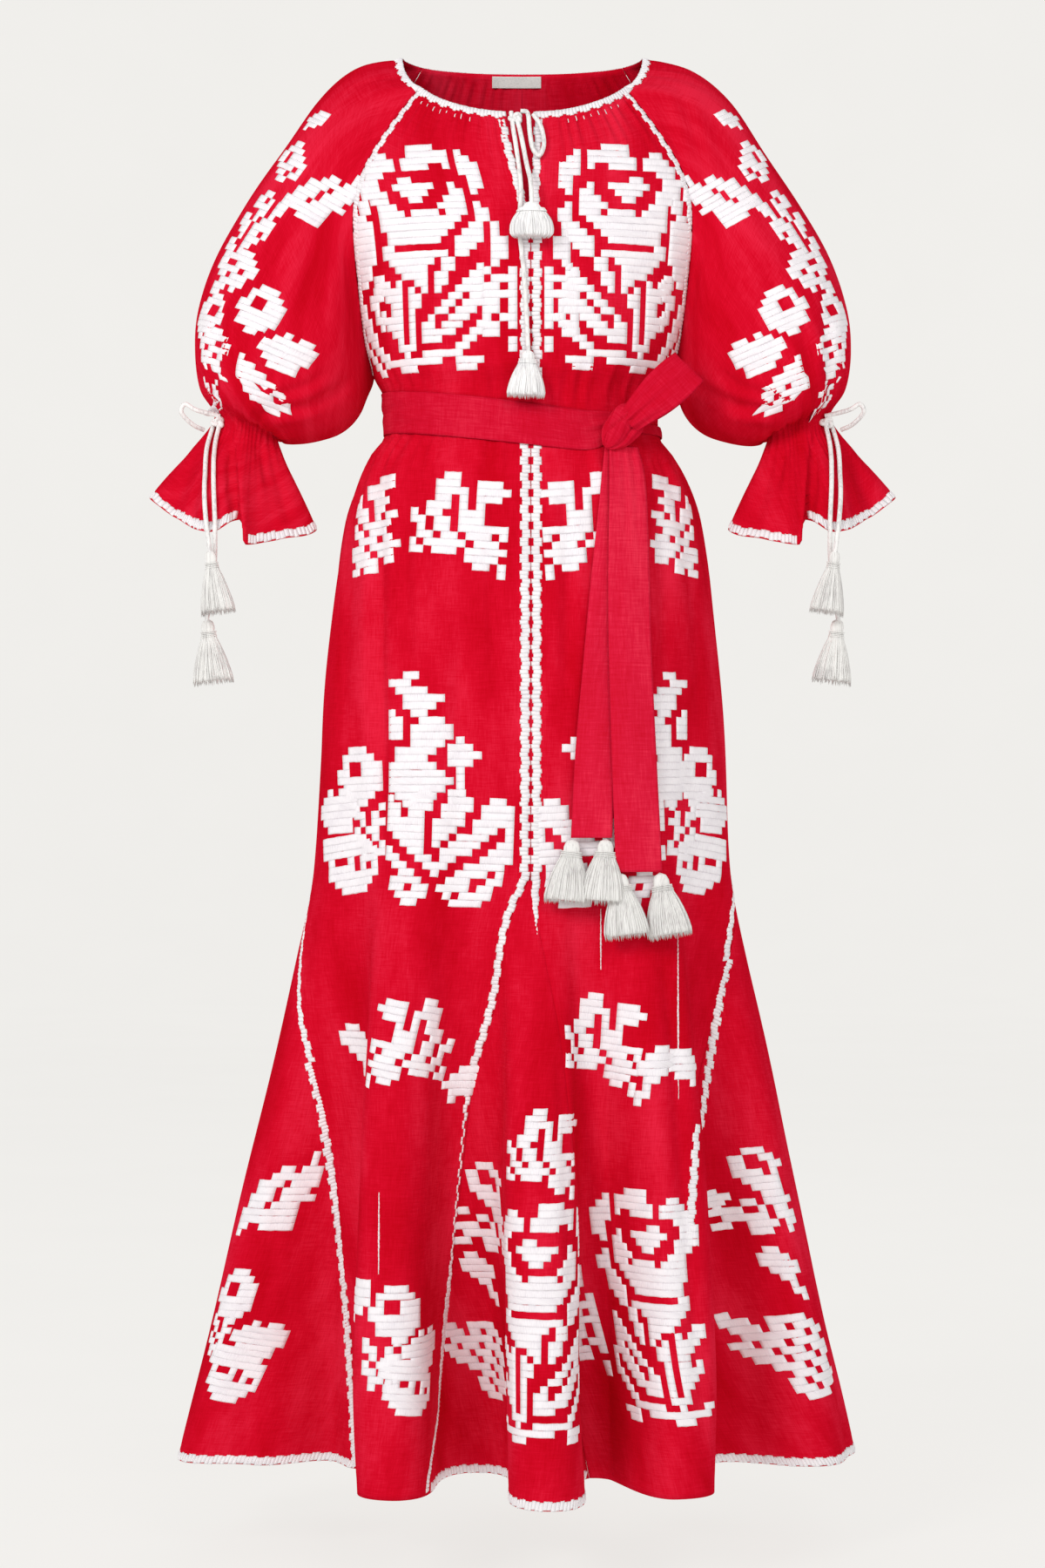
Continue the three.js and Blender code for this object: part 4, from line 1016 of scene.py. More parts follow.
# ---- sleeves -------------------------------------------------------------------------------------
@dataclass
class SleeveCloth:
    """The two raglan sleeves, gathered at the neckline and the cuff, with the frill below."""

    rings: Table = field(default_factory=lambda: Table(
        "outer_x outer_z inner_x inner_z front back forward oval", [
            (120, 0, 148, -320, 73, 70, 0, 0), (168, -12, 150, -328, 74, 72, 0, 0.4),
            (207, -44, 154, -338, 76, 75, 1, 0.8), (243, -98, 160, -354, 82, 80, 3, 1),
            (277, -150, 170, -368, 88, 84, 5, 1), (306, -203, 184, -378, 91, 86, 7, 1),
            (323, -255, 203, -384, 89, 84, 9, 1), (326, -297, 222, -387, 78, 74, 11, 1),
            (320, -333, 236, -386, 58, 55, 12, 1), (306, -356, 243, -380, 34, 33, 13, 1),
            (310, -372, 241, -390, 36, 34, 14, 1), (333, -400, 228, -419, 52, 48, 15, 1),
            (352, -420, 217, -443, 64, 58, 16, 1), (370, -440, 207, -466, 74, 66, 17, 1)]))
    cuff_ring: int = 9
    girth: float = 560
    frill_waves: int = 5
    frill_ripple: float = 9
    frill_phase: float = 0.9
    frill_drop: float = 22
    columns: int = 168
    chart_rows: int = 96
    chart_columns: int = 120
    grids: dict[str, Array] = field(default_factory=dict)
    neck_columns: tuple[int, int] = (0, 0)
    trees: dict[str, BVHTree] = field(default_factory=dict)

    def seam_line(self, face: str, count: int) -> Array:
        """The raglan seam on the wearer's left, from the neckline to the armpit.

        Args:
            face: front or back.
            count: how many points.

        Returns:
            Its points.
        """
        row = FORM.yoke[face].at(np.linspace(0, FORM.yoke_courses, count))
        way = -1 if face == "front" else 1
        return np.stack([row["seam_x"], way * row["seam_depth"], row["seam_z"]], axis=1)

    def armhole(self) -> Array:
        """The left armhole, up the front seam, along the neckline and down the back seam.

        Returns:
            A point for each of the sleeve's columns.
        """
        angles = [float(FORM.raglan_angle(face, np.array(0.0))) for face in ("front", "back")]
        turn = np.radians(np.linspace(angles[0], angles[1], 42))[1:-1]
        out = np.cos(turn)
        depth = np.where(out >= 0, 85, 72) * out
        drop = np.where(out >= 0, -70, -2) * np.abs(out)
        over = np.stack([120 * np.sin(turn) ** 0.8, -depth, drop], axis=1)
        up, down = self.seam_line("front", 120)[::-1], self.seam_line("back", 120)
        line = np.concatenate([up, over, down])
        lengths = running(line)
        ends = lengths[[0, len(up) - 1, len(up) + len(over), -1]]
        # The gathers' columns meet the seams' upper ends exactly.
        marks = [int(round(mark)) for mark in ends / lengths[-1] * (self.columns - 1)]
        self.neck_columns = (marks[1], marks[2])
        return read_along(np.interp(np.arange(self.columns), marks, ends), lengths, line)

    def frame_at(self, station: Array) -> dict[str, Array]:
        """A ring's middle, half axis to its outermost point, and way it stands off, by station.

        Args:
            station: places down the sleeve, 0 at the armhole.

        Returns:
            The table's columns, with centre, axis and away.
        """
        ring = self.rings.at(station)
        outer = np.stack([ring["outer_x"], -ring["forward"], ring["outer_z"]], axis=-1)
        inner = np.stack([ring["inner_x"], -ring["forward"], ring["inner_z"]], axis=-1)
        ring["centre"] = (outer + inner) / 2
        ring["axis"] = outer - ring["centre"]
        axis = ring["axis"]
        ring["away"] = unit(np.stack([axis[..., 2], 0 * axis[..., 0], -axis[..., 0]], axis=-1))
        return ring

    def smooth_points(self, stations: Array) -> Array:
        """The left sleeve's form at each station, from the armhole to the frill's hem.

        Args:
            stations: places down the sleeve, 0 at the armhole.

        Returns:
            Points, stations x columns x 3.
        """
        first = self.frame_at(np.array(0.0))
        seats = self.armhole()
        reach = seats - first["centre"]
        along = reach @ first["axis"] / (first["axis"] @ first["axis"])
        depth = reach[:, 1] / np.where(reach[:, 1] < 0, first["front"], first["back"])
        stands = reach @ first["away"]
        turn = np.arctan2(depth, along)
        ring = {name: value[:, None] for name, value in self.frame_at(stations).items()}
        below = np.clip((stations - self.cuff_ring) / (13 - self.cuff_ring), 0, 1)[:, None]
        ripple = self.frill_ripple * below * np.cos(self.frill_waves * turn + self.frill_phase)
        grow = 1 + ripple / np.linalg.norm(ring["axis"], axis=-1)
        along = (along + (np.cos(turn) - along) * ring["oval"]) * grow
        depth = (depth + (np.sin(turn) - depth) * ring["oval"]) * grow
        points = ring["centre"] + ring["axis"] * along[..., None]
        points = points + ring["away"] * (stands * (1 - ring["oval"]))[..., None]
        points[..., 1] += depth * np.where(depth < 0, ring["front"], ring["back"])
        points[..., 2] -= self.frill_drop * below * np.maximum(-depth, 0)
        # The frill's front falls in two flutes, the inner one lower and over the outer one.
        flounce = smooth((stations - self.cuff_ring) / 4)[:, None] ** 1.5
        points[..., 0] -= 0.13 * np.maximum(points[..., 0] - 305, 0) * flounce
        front = smooth(-(points[..., 1] + 12) / 20) * flounce
        fold = np.interp(-points[..., 2], [372, 480], [287, 272])
        out = points[..., 0] - fold
        over = smooth((2.5 - out) / 5)
        points[..., 2] -= front * over * 16 * bell(out / 44)
        points[..., 2] -= front * (1 - over) * (9 * smooth((366 - points[..., 0]) / 36) - 20 * bell(out / 24))
        points[..., 1] -= front * (over * 10 * bell(out / 20) - (1 - over) * 15 * bell(out / 9))
        points[0] = seats
        return points

    def creased(self, points: Array, stations: Array, seed: int) -> Array:
        """The sleeve with its gathers at the neckline and the cuff, and its soft folds.

        Args:
            points: the cloth's points, rows x columns x 3.
            stations: the rows' stations.
            seed: the seed of its unevenness.

        Returns:
            The points, moved.
        """
        uneven = Unevenness(seed)
        columns = points.shape[1]
        down = running(points)
        turn = np.linspace(0, 1, columns)[None, :]
        station = stations[:, None]
        past_cuff = station - self.cuff_ring
        # The balloon's soft unevenness, which fades out at the cuff.
        soft = uneven.swell(140 * np.cos(TURN * turn), down + 140 * np.sin(TURN * turn), 70, 160, 1.6)
        move = 1.2 * soft * smooth(down / 40) * smooth(-past_cuff / 2)
        # The gathers below the neckline.
        first, last = self.neck_columns
        column = np.arange(columns)[None, :]
        top = smooth((column - first) / 4) * smooth((last - column) / 4)
        neck = uneven.pleats(turn * self.girth, down, 11)
        move = move + 1.6 * top * smooth((down - 5) / 10) * fading(down - 16, 42) * neck
        # The gathers at the cuff, short ones and long ones, and the frill's flutes.
        pleat = uneven.pleats(np.mod(turn * self.girth, self.girth), 0 * station, self.girth / 46, 1e9)
        whole = np.cos(TURN * turn * 38 + 2.2 * np.sin(TURN * turn * 5) + 0.5 * np.sin(station))
        folds = 0.45 * pleat * np.sin(np.pi * turn) + 0.75 * whole
        above = fading(-past_cuff, 1.1) * (past_cuff <= 0)
        below = fading(past_cuff, 1.4) * (past_cuff > 0)
        long = np.cos(TURN * turn * 15 + 1.3) * fading(-past_cuff, 2.4)
        move = move + 1.5 * folds * (above + below) + 1.6 * long * (past_cuff <= 0) * (1 - above * 0.6)
        flounce = smooth(past_cuff / 4)
        move = move + 2.0 * flounce * np.cos(TURN * turn * 11 + 0.7 + 0.3 * station)
        move = move - 0.6 * bell((station - 12.75) / 0.09)
        move = laid(SLEEVE_CREASES, move, points, smooth(-(points[..., 1] - 3) / 14) * smooth(down / 8))
        return points + grid_normals(points, around=True) * move[..., None]

    def hit(self, name: str, x: float, z: float, way: int) -> float | None:
        """The y of the cloth first met from the front, way 1, or from the back, way -1.

        Args:
            name: the sleeve.
            x: millimetres to the wearer's left.
            z: height, in millimetres.
            way: the way it is looked at.

        Returns:
            Its y, or None beside the cloth.
        """
        if name not in self.trees:
            rows, columns = self.grids[name].shape[:2]
            corner = np.arange(rows * columns).reshape(rows, columns)
            quads = np.stack([corner[:-1, :-1], corner[1:, :-1], corner[1:, 1:], corner[:-1, 1:]], axis=-1)
            spots = self.grids[name].reshape(-1, 3).tolist()
            self.trees[name] = BVHTree.FromPolygons(spots, quads.reshape(-1, 4).tolist())
        found = self.trees[name].ray_cast(Vector((x, -900 * way, z)), Vector((0, way, 0)))[0]
        return None if found is None else found.y

    def depth(self, x: float, z: float) -> float:
        """How far in front of the origin the left sleeve's cloth is, in the front view; 0 off it."""
        found = self.hit("sleeve_left", x, z, 1)
        return 0.0 if found is None else max(-found, 0.0)

    def chart_patch(self, word: str) -> Patch:
        """A sleeve's pattern space: its rows cross the outer line squarely, from back to front.

        Args:
            word: left or right.

        Returns:
            The patch; s is 0 on the outer line and v is the way down it.
        """
        side = 1 if word == "left" else -1
        name = f"sleeve_{word}"
        ring = self.rings.at(np.linspace(0.4, 8.6, 60))
        line = evenly(np.stack([ring["outer_x"], ring["outer_z"]], axis=1), self.chart_rows)
        # The weft falls towards the body, steeply at the shoulder and less so at the cuff.
        fall = np.radians(np.interp(np.arange(self.chart_rows), [0, 40, 95], [33, 30, 18]))
        inward = np.stack([-np.cos(fall), -np.sin(fall)], axis=1)
        rows, starts = [], []
        reach = 150 * np.linspace(0, 1, 44) ** 1.8
        for spot, turn in zip(line, inward):
            halves = []
            for facing in (1, -1):
                found = []
                for t in reach - 6:
                    x, z = spot + turn * t
                    y = self.hit(name, side * x, z, facing)
                    if y is not None and (not found or abs(y - found[-1][1]) < 45):
                        found.append((side * x, y, z))
                halves.append(np.array(found))
            front, back = halves
            back = back[: max(8, int(len(back) * 0.6))]
            row = np.concatenate([back[::-1], front])
            gap = spans(back).sum() + np.linalg.norm(front[0] - back[0]) / 2
            rows.append(evenly(row, self.chart_columns))
            starts.append(-gap)
        # Where the outer line turns in towards the cuff, the columns still run straight.
        steps = np.diff(line, axis=0)
        points, start = np.array(rows), np.array(starts) + summed((steps * inward[1:]).sum(axis=1))
        if side > 0:
            points = points[:, ::-1]
            start = -(spans(points, 1).sum(axis=1) + start)
        squarely = np.stack([np.sin(fall), -np.cos(fall)], axis=1)
        return Patch(points, start, -summed((steps * squarely[1:]).sum(axis=1)), leaning=True)

    def hem_patch(self, word: str) -> Patch:
        """The strip of cloth above a frill's hem.

        Args:
            word: left or right.

        Returns:
            The patch; v is the way up from the hem.
        """
        strip = self.grids[f"sleeve_{word}"][-10:]
        high = summed(spans(strip[::-1]).mean(axis=1))[::-1]
        return Patch(strip, np.zeros(len(strip)), high, around=True, aligned=True)

    def make(self, finish: bpy.types.Material) -> dict[str, bpy.types.Object]:
        """Builds both sleeves.

        Args:
            finish: the linen.

        Returns:
            The pieces by name.
        """
        stations = np.concatenate([np.linspace(0, 8, 66, endpoint=False), np.linspace(8, 13, 44)])
        smooth_points = self.smooth_points(stations)
        pieces = {}
        for word, side, seed in (("left", 1, 31), ("right", -1, 32)):
            points = self.creased(smooth_points, stations, seed)
            down = summed(spans(points).mean(axis=1))
            across = (np.linspace(0, 1, self.columns)[None, :] - 0.3) * spans(points, 1).sum(axis=1)[:, None]
            uv = paired(across, -down[:, None])
            if side < 0:
                points = (points * np.array([-1, 1, 1]))[:, ::-1]
            self.grids[f"sleeve_{word}"] = points
            piece = sheet_on(f"sleeve_{word}_cloth", points, uv, around=True)
            pieces[f"sleeve_{word}"] = finished(piece, finish, "red_linen", f"sleeve_{word}")
        return pieces


# ---- finishes ------------------------------------------------------------------------------------
@dataclass
class Nodes:
    """A material's tree, with short ways to add to it."""

    material: bpy.types.Material

    def __post_init__(self) -> None:
        """Takes the tree and its shader."""
        self.material.use_nodes = True
        self.tree = self.material.node_tree
        self.shader = self.tree.nodes["Principled BSDF"]

    def add(self, kind: str, **settings: object) -> bpy.types.Node:
        """A node with these settings.

        Args:
            kind: the node's type.
            settings: its attributes.

        Returns:
            The node.
        """
        node = self.tree.nodes.new(kind)
        for name, value in settings.items():
            setattr(node, name, value)
        return node

    def link(self, out: bpy.types.NodeSocket, into: bpy.types.NodeSocket) -> None:
        """Joins two sockets."""
        self.tree.links.new(out, into)

    def noise(self, where: Socket, scale: tuple[float, float, float], detail: float = 2.0) -> Socket:
        """Noise, stretched by a mapping; returns its value.

        Args:
            where: its coordinates.
            scale: how fine it is each way.
            detail: its octaves.

        Returns:
            Its value's socket.
        """
        mapping = self.add("ShaderNodeMapping")
        mapping.inputs["Scale"].default_value = scale
        self.link(where, mapping.inputs["Vector"])
        noise = self.add("ShaderNodeTexNoise")
        noise.inputs["Scale"].default_value = 1.0
        noise.inputs["Detail"].default_value = detail
        noise.inputs["Roughness"].default_value = 0.55
        self.link(mapping.outputs["Vector"], noise.inputs["Vector"])
        return noise.outputs["Fac"]

    def math(self, operation: str, first: object, second: object) -> Socket:
        """A sum, or another operation, of two sockets or numbers.

        Args:
            operation: the node's operation.
            first: a socket or a number.
            second: the same.

        Returns:
            The result's socket.
        """
        node = self.add("ShaderNodeMath", operation=operation)
        for socket, value in zip(node.inputs, (first, second)):
            if isinstance(value, bpy.types.NodeSocket):
                self.link(value, socket)
            else:
                socket.default_value = value
        return node.outputs[0]

    def blend(self, first: Socket, second: Socket, share: float) -> Socket:
        """Two values blended, the second by its share."""
        return self.math("ADD", self.math("MULTIPLY", first, 1 - share), self.math("MULTIPLY", second, share))

    def surface(self, **values: object) -> None:
        """Sets the shader's sockets; an underscore stands for a space."""
        for name, value in values.items():
            self.shader.inputs[name.replace("_", " ")].default_value = value

    def paint(self, value: Socket, stops: Sequence[tuple[float, Colour]]) -> None:
        """Colours the shader along a value.

        Args:
            value: what picks the colour.
            stops: places along it, each with a colour.
        """
        node = self.add("ShaderNodeValToRGB")
        elements = node.color_ramp.elements
        while len(elements) < len(stops):
            elements.new(0.5)
        for element, (place, colour) in zip(elements, stops):
            element.position = place
            element.color = (*colour, 1)
        self.link(value, node.inputs["Fac"])
        self.link(node.outputs["Color"], self.shader.inputs["Base Color"])

    def bump(self, height: Socket, distance: float, strength: float = 1.0) -> None:
        """Bump on the shader, in metres.

        Args:
            height: its height's socket.
            distance: its depth, in metres.
            strength: its strength.
        """
        node = self.add("ShaderNodeBump")
        node.inputs["Distance"].default_value = distance
        node.inputs["Strength"].default_value = strength
        self.link(height, node.inputs["Height"])
        self.link(node.outputs["Normal"], self.shader.inputs["Normal"])


@dataclass(frozen=True)
class LinenFinish:
    """Plain-weave linen with slubs both ways, matt: its tone varies at random, and its lighter patches are also painted
    highlight for the glow of thin, sheer cloth.
    """

    name: str
    deep: Colour
    plain: Colour
    light: Colour
    weave: float = 0.5
    coarse: float = 0.35
    patches: float = 0.55
    sheen: float = 0.04

    def material(self) -> bpy.types.Material:
        """The finish as a material.

        Returns:
            The material.
        """
        nodes = Nodes(bpy.data.materials.new(self.name))
        where = nodes.add("ShaderNodeUVMap", uv_map="flat").outputs["UV"]
        fine = nodes.math("ADD", nodes.noise(where, (1300, 70, 1), 2), nodes.noise(where, (70, 1300, 1), 2))
        slubs = nodes.math("ADD", nodes.noise(where, (480, 34, 1), 3), nodes.noise(where, (30, 480, 1), 3))
        patchy = nodes.noise(where, (15, 5, 1), 3)
        fine, slubs = nodes.math("MULTIPLY", fine, 0.5), nodes.math("MULTIPLY", slubs, 0.5)
        threads = nodes.blend(fine, slubs, self.coarse)
        tone = nodes.blend(threads, patchy, self.patches)
        # The ramp's light end is partly painted highlight, for the glow of thin cloth; the rest of its spread is random
        # slub and patch tone.
        nodes.paint(tone, [(0.4, self.deep), (0.5, self.plain), (0.61, self.light)])
        nodes.bump(threads, 0.0004, self.weave)
        nodes.surface(Roughness=0.85, Specular_IOR_Level=0.0)
        nodes.surface(Sheen_Weight=self.sheen, Sheen_Roughness=0.45, Sheen_Tint=(1.0, 0.08, 0.14, 1))
        return nodes.material


@dataclass(frozen=True)
class ThreadFinish:
    """White thread laid side by side: satin stitches, cords and tassels."""

    name: str
    colour: Colour
    shade: Colour
    across: tuple[float, float, float] = (1400, 60, 1)
    depth: float = 0.0004
    sheen: float = 0.2
    flat: bool = True

    def material(self) -> bpy.types.Material:
        """The finish as a material.

        Returns:
            The material.
        """
        nodes = Nodes(bpy.data.materials.new(self.name))
        if self.flat:
            where = nodes.add("ShaderNodeUVMap", uv_map="flat").outputs["UV"]
        else:
            where = nodes.add("ShaderNodeTexCoord").outputs["Object"]
        strands = nodes.noise(where, self.across, 2)
        patchy = nodes.noise(where, (40, 40, 40), 2)
        tone = nodes.blend(strands, patchy, 0.4)
        nodes.paint(tone, [(0.36, self.shade), (0.52, self.colour)])
        nodes.bump(strands, self.depth, 0.6)
        nodes.surface(Roughness=0.6, Specular_IOR_Level=0.25, Sheen_Weight=self.sheen)
        return nodes.material


class Finish(Enum):
    """The dress's finishes."""

    # Each linen's light colour is partly painted highlight, for the glow of thin cloth.
    LINEN = LinenFinish("red_linen_weave", (0.495, 0.0018, 0.010), (0.595, 0.0036, 0.020), (0.71, 0.016, 0.047),
                        weave=0.35, patches=0.5)
    SASH = LinenFinish("sash_linen_weave", (0.56, 0.006, 0.023), (0.635, 0.011, 0.041), (0.77, 0.032, 0.072),
                       weave=0.8, coarse=0.5, patches=0.35)
    # The wrap, knot and loop take a darker copy of the sash's linen: painted shade, which evens out the key light that
    # falls more on them than on the hanging ends.
    WRAP = LinenFinish("sash_linen_drawn_tight", (0.5, 0.003, 0.015), (0.562, 0.006, 0.028), (0.67, 0.021, 0.053),
                       weave=0.7, coarse=0.5, patches=0.35)
    STITCH = ThreadFinish("satin_stitch", (0.88, 0.84, 0.87), (0.72, 0.67, 0.72))
    TRIM = ThreadFinish("trim_stitch", (0.86, 0.83, 0.85), (0.66, 0.62, 0.66), (900, 90, 1))
    CORD = ThreadFinish("twisted_cord", (0.84, 0.83, 0.82), (0.6, 0.58, 0.58), (500, 500, 160), 0.0006, flat=False)
    # The cuffs' and the sash's tassels take a greyer copy of the white thread that the neck's tassels have: the grey is
    # partly painted shade.
    TASSEL = ThreadFinish("loose_thread", (0.8, 0.79, 0.77), (0.6, 0.58, 0.57), (700, 700, 30), 0.0004, flat=False)
    NECK_TASSEL = ThreadFinish("loose_white_thread", (0.88, 0.87, 0.87), (0.66, 0.65, 0.66), (700, 700, 30), 0.0004,
                               flat=False)
    TAPE = ThreadFinish("woven_tape", (0.78, 0.77, 0.75), (0.66, 0.65, 0.63), (500, 500, 900), 0.0002, flat=False)


MADE: dict[Finish, bpy.types.Material] = {}


def finish_of(kind: Finish) -> bpy.types.Material:
    """A finish's material, made once.

    Args:
        kind: the finish.

    Returns:
        Its material.
    """
    if kind not in MADE:
        MADE[kind] = kind.value.material()
    return MADE[kind]


# ---- the studio ----------------------------------------------------------------------------------
@dataclass
class Studio:
    """A pale seamless floor, soft light and the camera."""

    distance: float = 3.5
    height: float = -0.725
    lens: float = 80.46
    floor: float = -1.5
    aim: float = -0.7
    lamps: tuple[tuple[str, tuple[float, float, float], float, float], ...] = (
        ("key", (-2.0, -3.3, 1.3), 1.3, 71), ("front", (1.0, -3.4, 1.4), 1.4, 33), ("rim", (0, 2.6, 1.8), 2.4, 20))

    def camera(self) -> None:
        """The camera, level, in front of the dress."""
        camera = bpy.data.cameras.new("camera")
        camera.sensor_fit = "AUTO"
        camera.sensor_width = 36
        camera.lens = self.lens
        seat = placed("camera", camera)
        seat.location = (0, -self.distance, self.height)
        seat.rotation_euler = (math.pi / 2, 0, 0)
        bpy.context.scene.camera = seat

    def backdrop(self) -> None:
        """A floor that sweeps up into a wall all round the dress."""
        shape = bmesh.new()
        bmesh.ops.create_circle(shape, cap_ends=True, segments=96, radius=11)
        bmesh.ops.translate(shape, verts=shape.verts, vec=(0, 0, self.floor))
        rim = shape.edges[:]
        raised = bmesh.ops.extrude_edge_only(shape, edges=rim)
        verts = [g for g in raised["geom"] if isinstance(g, bmesh.types.BMVert)]
        bmesh.ops.translate(shape, verts=verts, vec=(0, 0, 6))
        bmesh.ops.bevel(shape, geom=rim, offset=2.4, segments=16, profile=0.5, affect="EDGES", material=-1)
        bmesh.ops.recalc_face_normals(shape, faces=shape.faces)
        if shape.faces[0].normal.z < 0:
            bmesh.ops.reverse_faces(shape, faces=shape.faces)
        piece = mesh_object("studio_floor", shape)
        nodes = Nodes(bpy.data.materials.new("pale_paper"))
        where = nodes.add("ShaderNodeTexCoord").outputs["Object"]
        grain = nodes.noise(where, (3, 3, 3), 2)
        nodes.paint(grain, [(0.3, (0.115, 0.1148, 0.113)), (0.7, (0.125, 0.1248, 0.123))])
        nodes.surface(Emission_Color=(1.0, 0.985, 0.955, 1), Emission_Strength=0.79)
        nodes.surface(Roughness=0.95, Specular_IOR_Level=0.0)
        piece.data.materials.append(nodes.material)

    def light(self, name: str, place: tuple[float, float, float], size: float, power: float) -> None:
        """One soft square light that faces the dress.

        Args:
            name: its name.
            place: where it stands, in metres.
            size: its width, in metres.
            power: its power, in watts.
        """
        lamp = bpy.data.lights.new(name, "AREA")
        lamp.size = size
        lamp.energy = power
        seat = placed(name, lamp)
        seat.location = place
        middle = Vector((0, 0, self.aim))
        seat.rotation_euler = (middle - Vector(place)).to_track_quat("-Z", "Y").to_euler()

    def build(self) -> None:
        """Lights the studio."""
        self.backdrop()
        for name, place, size, power in self.lamps:
            self.light(name, place, size, power)
        world = bpy.data.worlds.new("studio")
        world.use_nodes = True
        sky = world.node_tree.nodes["Background"].inputs
        sky["Color"].default_value = (1.0, 0.995, 0.98, 1)
        sky["Strength"].default_value = 0.36
        bpy.context.scene.world = world
        bpy.context.scene.view_settings.view_transform = "Standard"


# ---- stitching -----------------------------------------------------------------------------------
ROSE_TALL = """
........####......
...##...######.#..
..####.#######.##.
.#####.####..#.###
.###...........###
###...##........##
###..######..#..##
####..####...##.#.
.###...##...###...
..###......####.#.
..####.####.###.##
..############..##
..###########..##.
...#########..###.
...########..####.
..##.........###..
..##########.##...
...#######.##.....
....#####..##...#.
##...####.##...##.
###.#..##.##..###.
.####.#.#.#..####.
..###.##....##.##.
...##.##...##.####
.#.##.#...##.###.#
.####.#..#..###..#
..###.#.##.###..##
...##.#.#####..##.
....#.#.###...##..
....###......##...
##...#..######....
.##########..####.
....###......###..
"""
SIDE_SPRAY = """
....##.
...#.##
..##.#.
..#.##.
.##.##.
.#.##..
..####.
.#####.
######.
######.
######.
.#####.
.####..
..###..
..##..#
#....##
##..###
###.##.
.##..#.
.###.##
..##..#
#.###..
##.##..
.##.##.
..##.#.
...##.#
....##.
"""
SLIM_BUDS = """
.#..
.#..
.##.
.##.
.##.
.#..
#..#
.###
##.#
####
##.#
##.#
#.##
##.#
##..
...#
...#
"""
SPRIG = """
....##......
...###..###.
...####.####
...##.#.###.
..###.#.#...
#.##..###...
##.##.###...
.#.##.######
.##.##.###.#
#.#####.###.
##.###.#####
.......####.
........##.#
...........#
"""
SPRIG_SMALL = """
......###
....#####
..#.###..
.##..###.
.###.##..
..##.#.##
.#.#####.
.##.###..
..###.##.
###.#####
####.###.
.####.##.
##.##....
"""
CROWN = """
..##....
###.....
.####...
..#####.
..####..
#..##...
##..###.
##.#####
##.#####
...####.
.#####..
.####...
######..
#######.
########
#######.
.#####..
..##....
"""
STEM_BUD = """
.#..
###.
####
###.
.#..
.#..
.#..
##..
#...
"""
CLUSTER = """
....##..##......
#..###..###..##.
##.###.####.####
##.##..###..####
#####.####.#####
#####.###..###.#
.####.##.####..#
..###.#.####..##
#..##..####..###
##..##.##...####
.##..###..#####.
..##..#..####.#.
.####...###..##.
.##.##.####.##..
..####..#.####..
...##....####...
"""
SMALL_ROSE = """
..###..
.#####.
.#..###
##..###
#######
.######
.#####.
...##..
"""
LEAF_FAN = """
..#.##.
.######
#######
#######
.#####.
..####.
"""
BUD_ROSE = """
######...
########.
#########
.#..#.###
.####.#.#
.########
..######.
...####..
"""
LEAF = """
.........#..
.........#..
.....##.###.
....#######.
..####.####.
..###.####..
.####.#####.
.###.####...
#########...
#########...
##..#####...
#...........
"""
POSY = """
..##...
.####..
##.###.
##.####
.####.#
..##.##
...##..
"""
BUDS = """
..##...##
.##.#.##.
.####.##.
...##.#..
##.#.###.
###.####.
.##.##.#.
..#.###..
##..##...
###.#....
.##......
"""
SWIRL = """
...###..
.######.
##..####
#####.##
.##.###.
..#####.
.###.#..
.##.....
"""
TWIGS = """
#...#
##.#.
.#.##
#.##.
##.#.
.##.#
.#.##
"""
TWIN_BUD = """
.##..
####.
#####
.####
..##.
...#.
...##
....#
"""
SIDE_BLOOM = """
.......###..
.....##..##.
.....##...##
.....####.#.
......#####.
.......####.
..##....###.
.....##.####
#####..#.##.
..######.###
###..####.##
.....###..#.
"""
WING_BUD = """
##...........
####..#####..
.####.##.###.
..########.##
###.###.####.
.####.###.###
..####.###.##
....####.###.
......###.##.
.....##.#####
.....###.###.
......####...
"""
SLANT_BUD = """
#.......
###.....
#####...
#######.
###.####
#####.##
.#######
...###..
"""
PETAL = """
.###.
#####
.####
..##.
"""
STUB = """
..###
.####
#####
.###.
.#...
"""


CELL = (8.4, 7.3)  # a charted cell's usual width and height


@dataclass(frozen=True)
class Motif:
    """A charted motif on a cut piece: its middle in the front view, its size and its turn."""

    piece: str
    chart: str
    x: float
    z: float
    flip: bool = False
    tilt: float = 0.0
    cell: tuple[float, float] = CELL


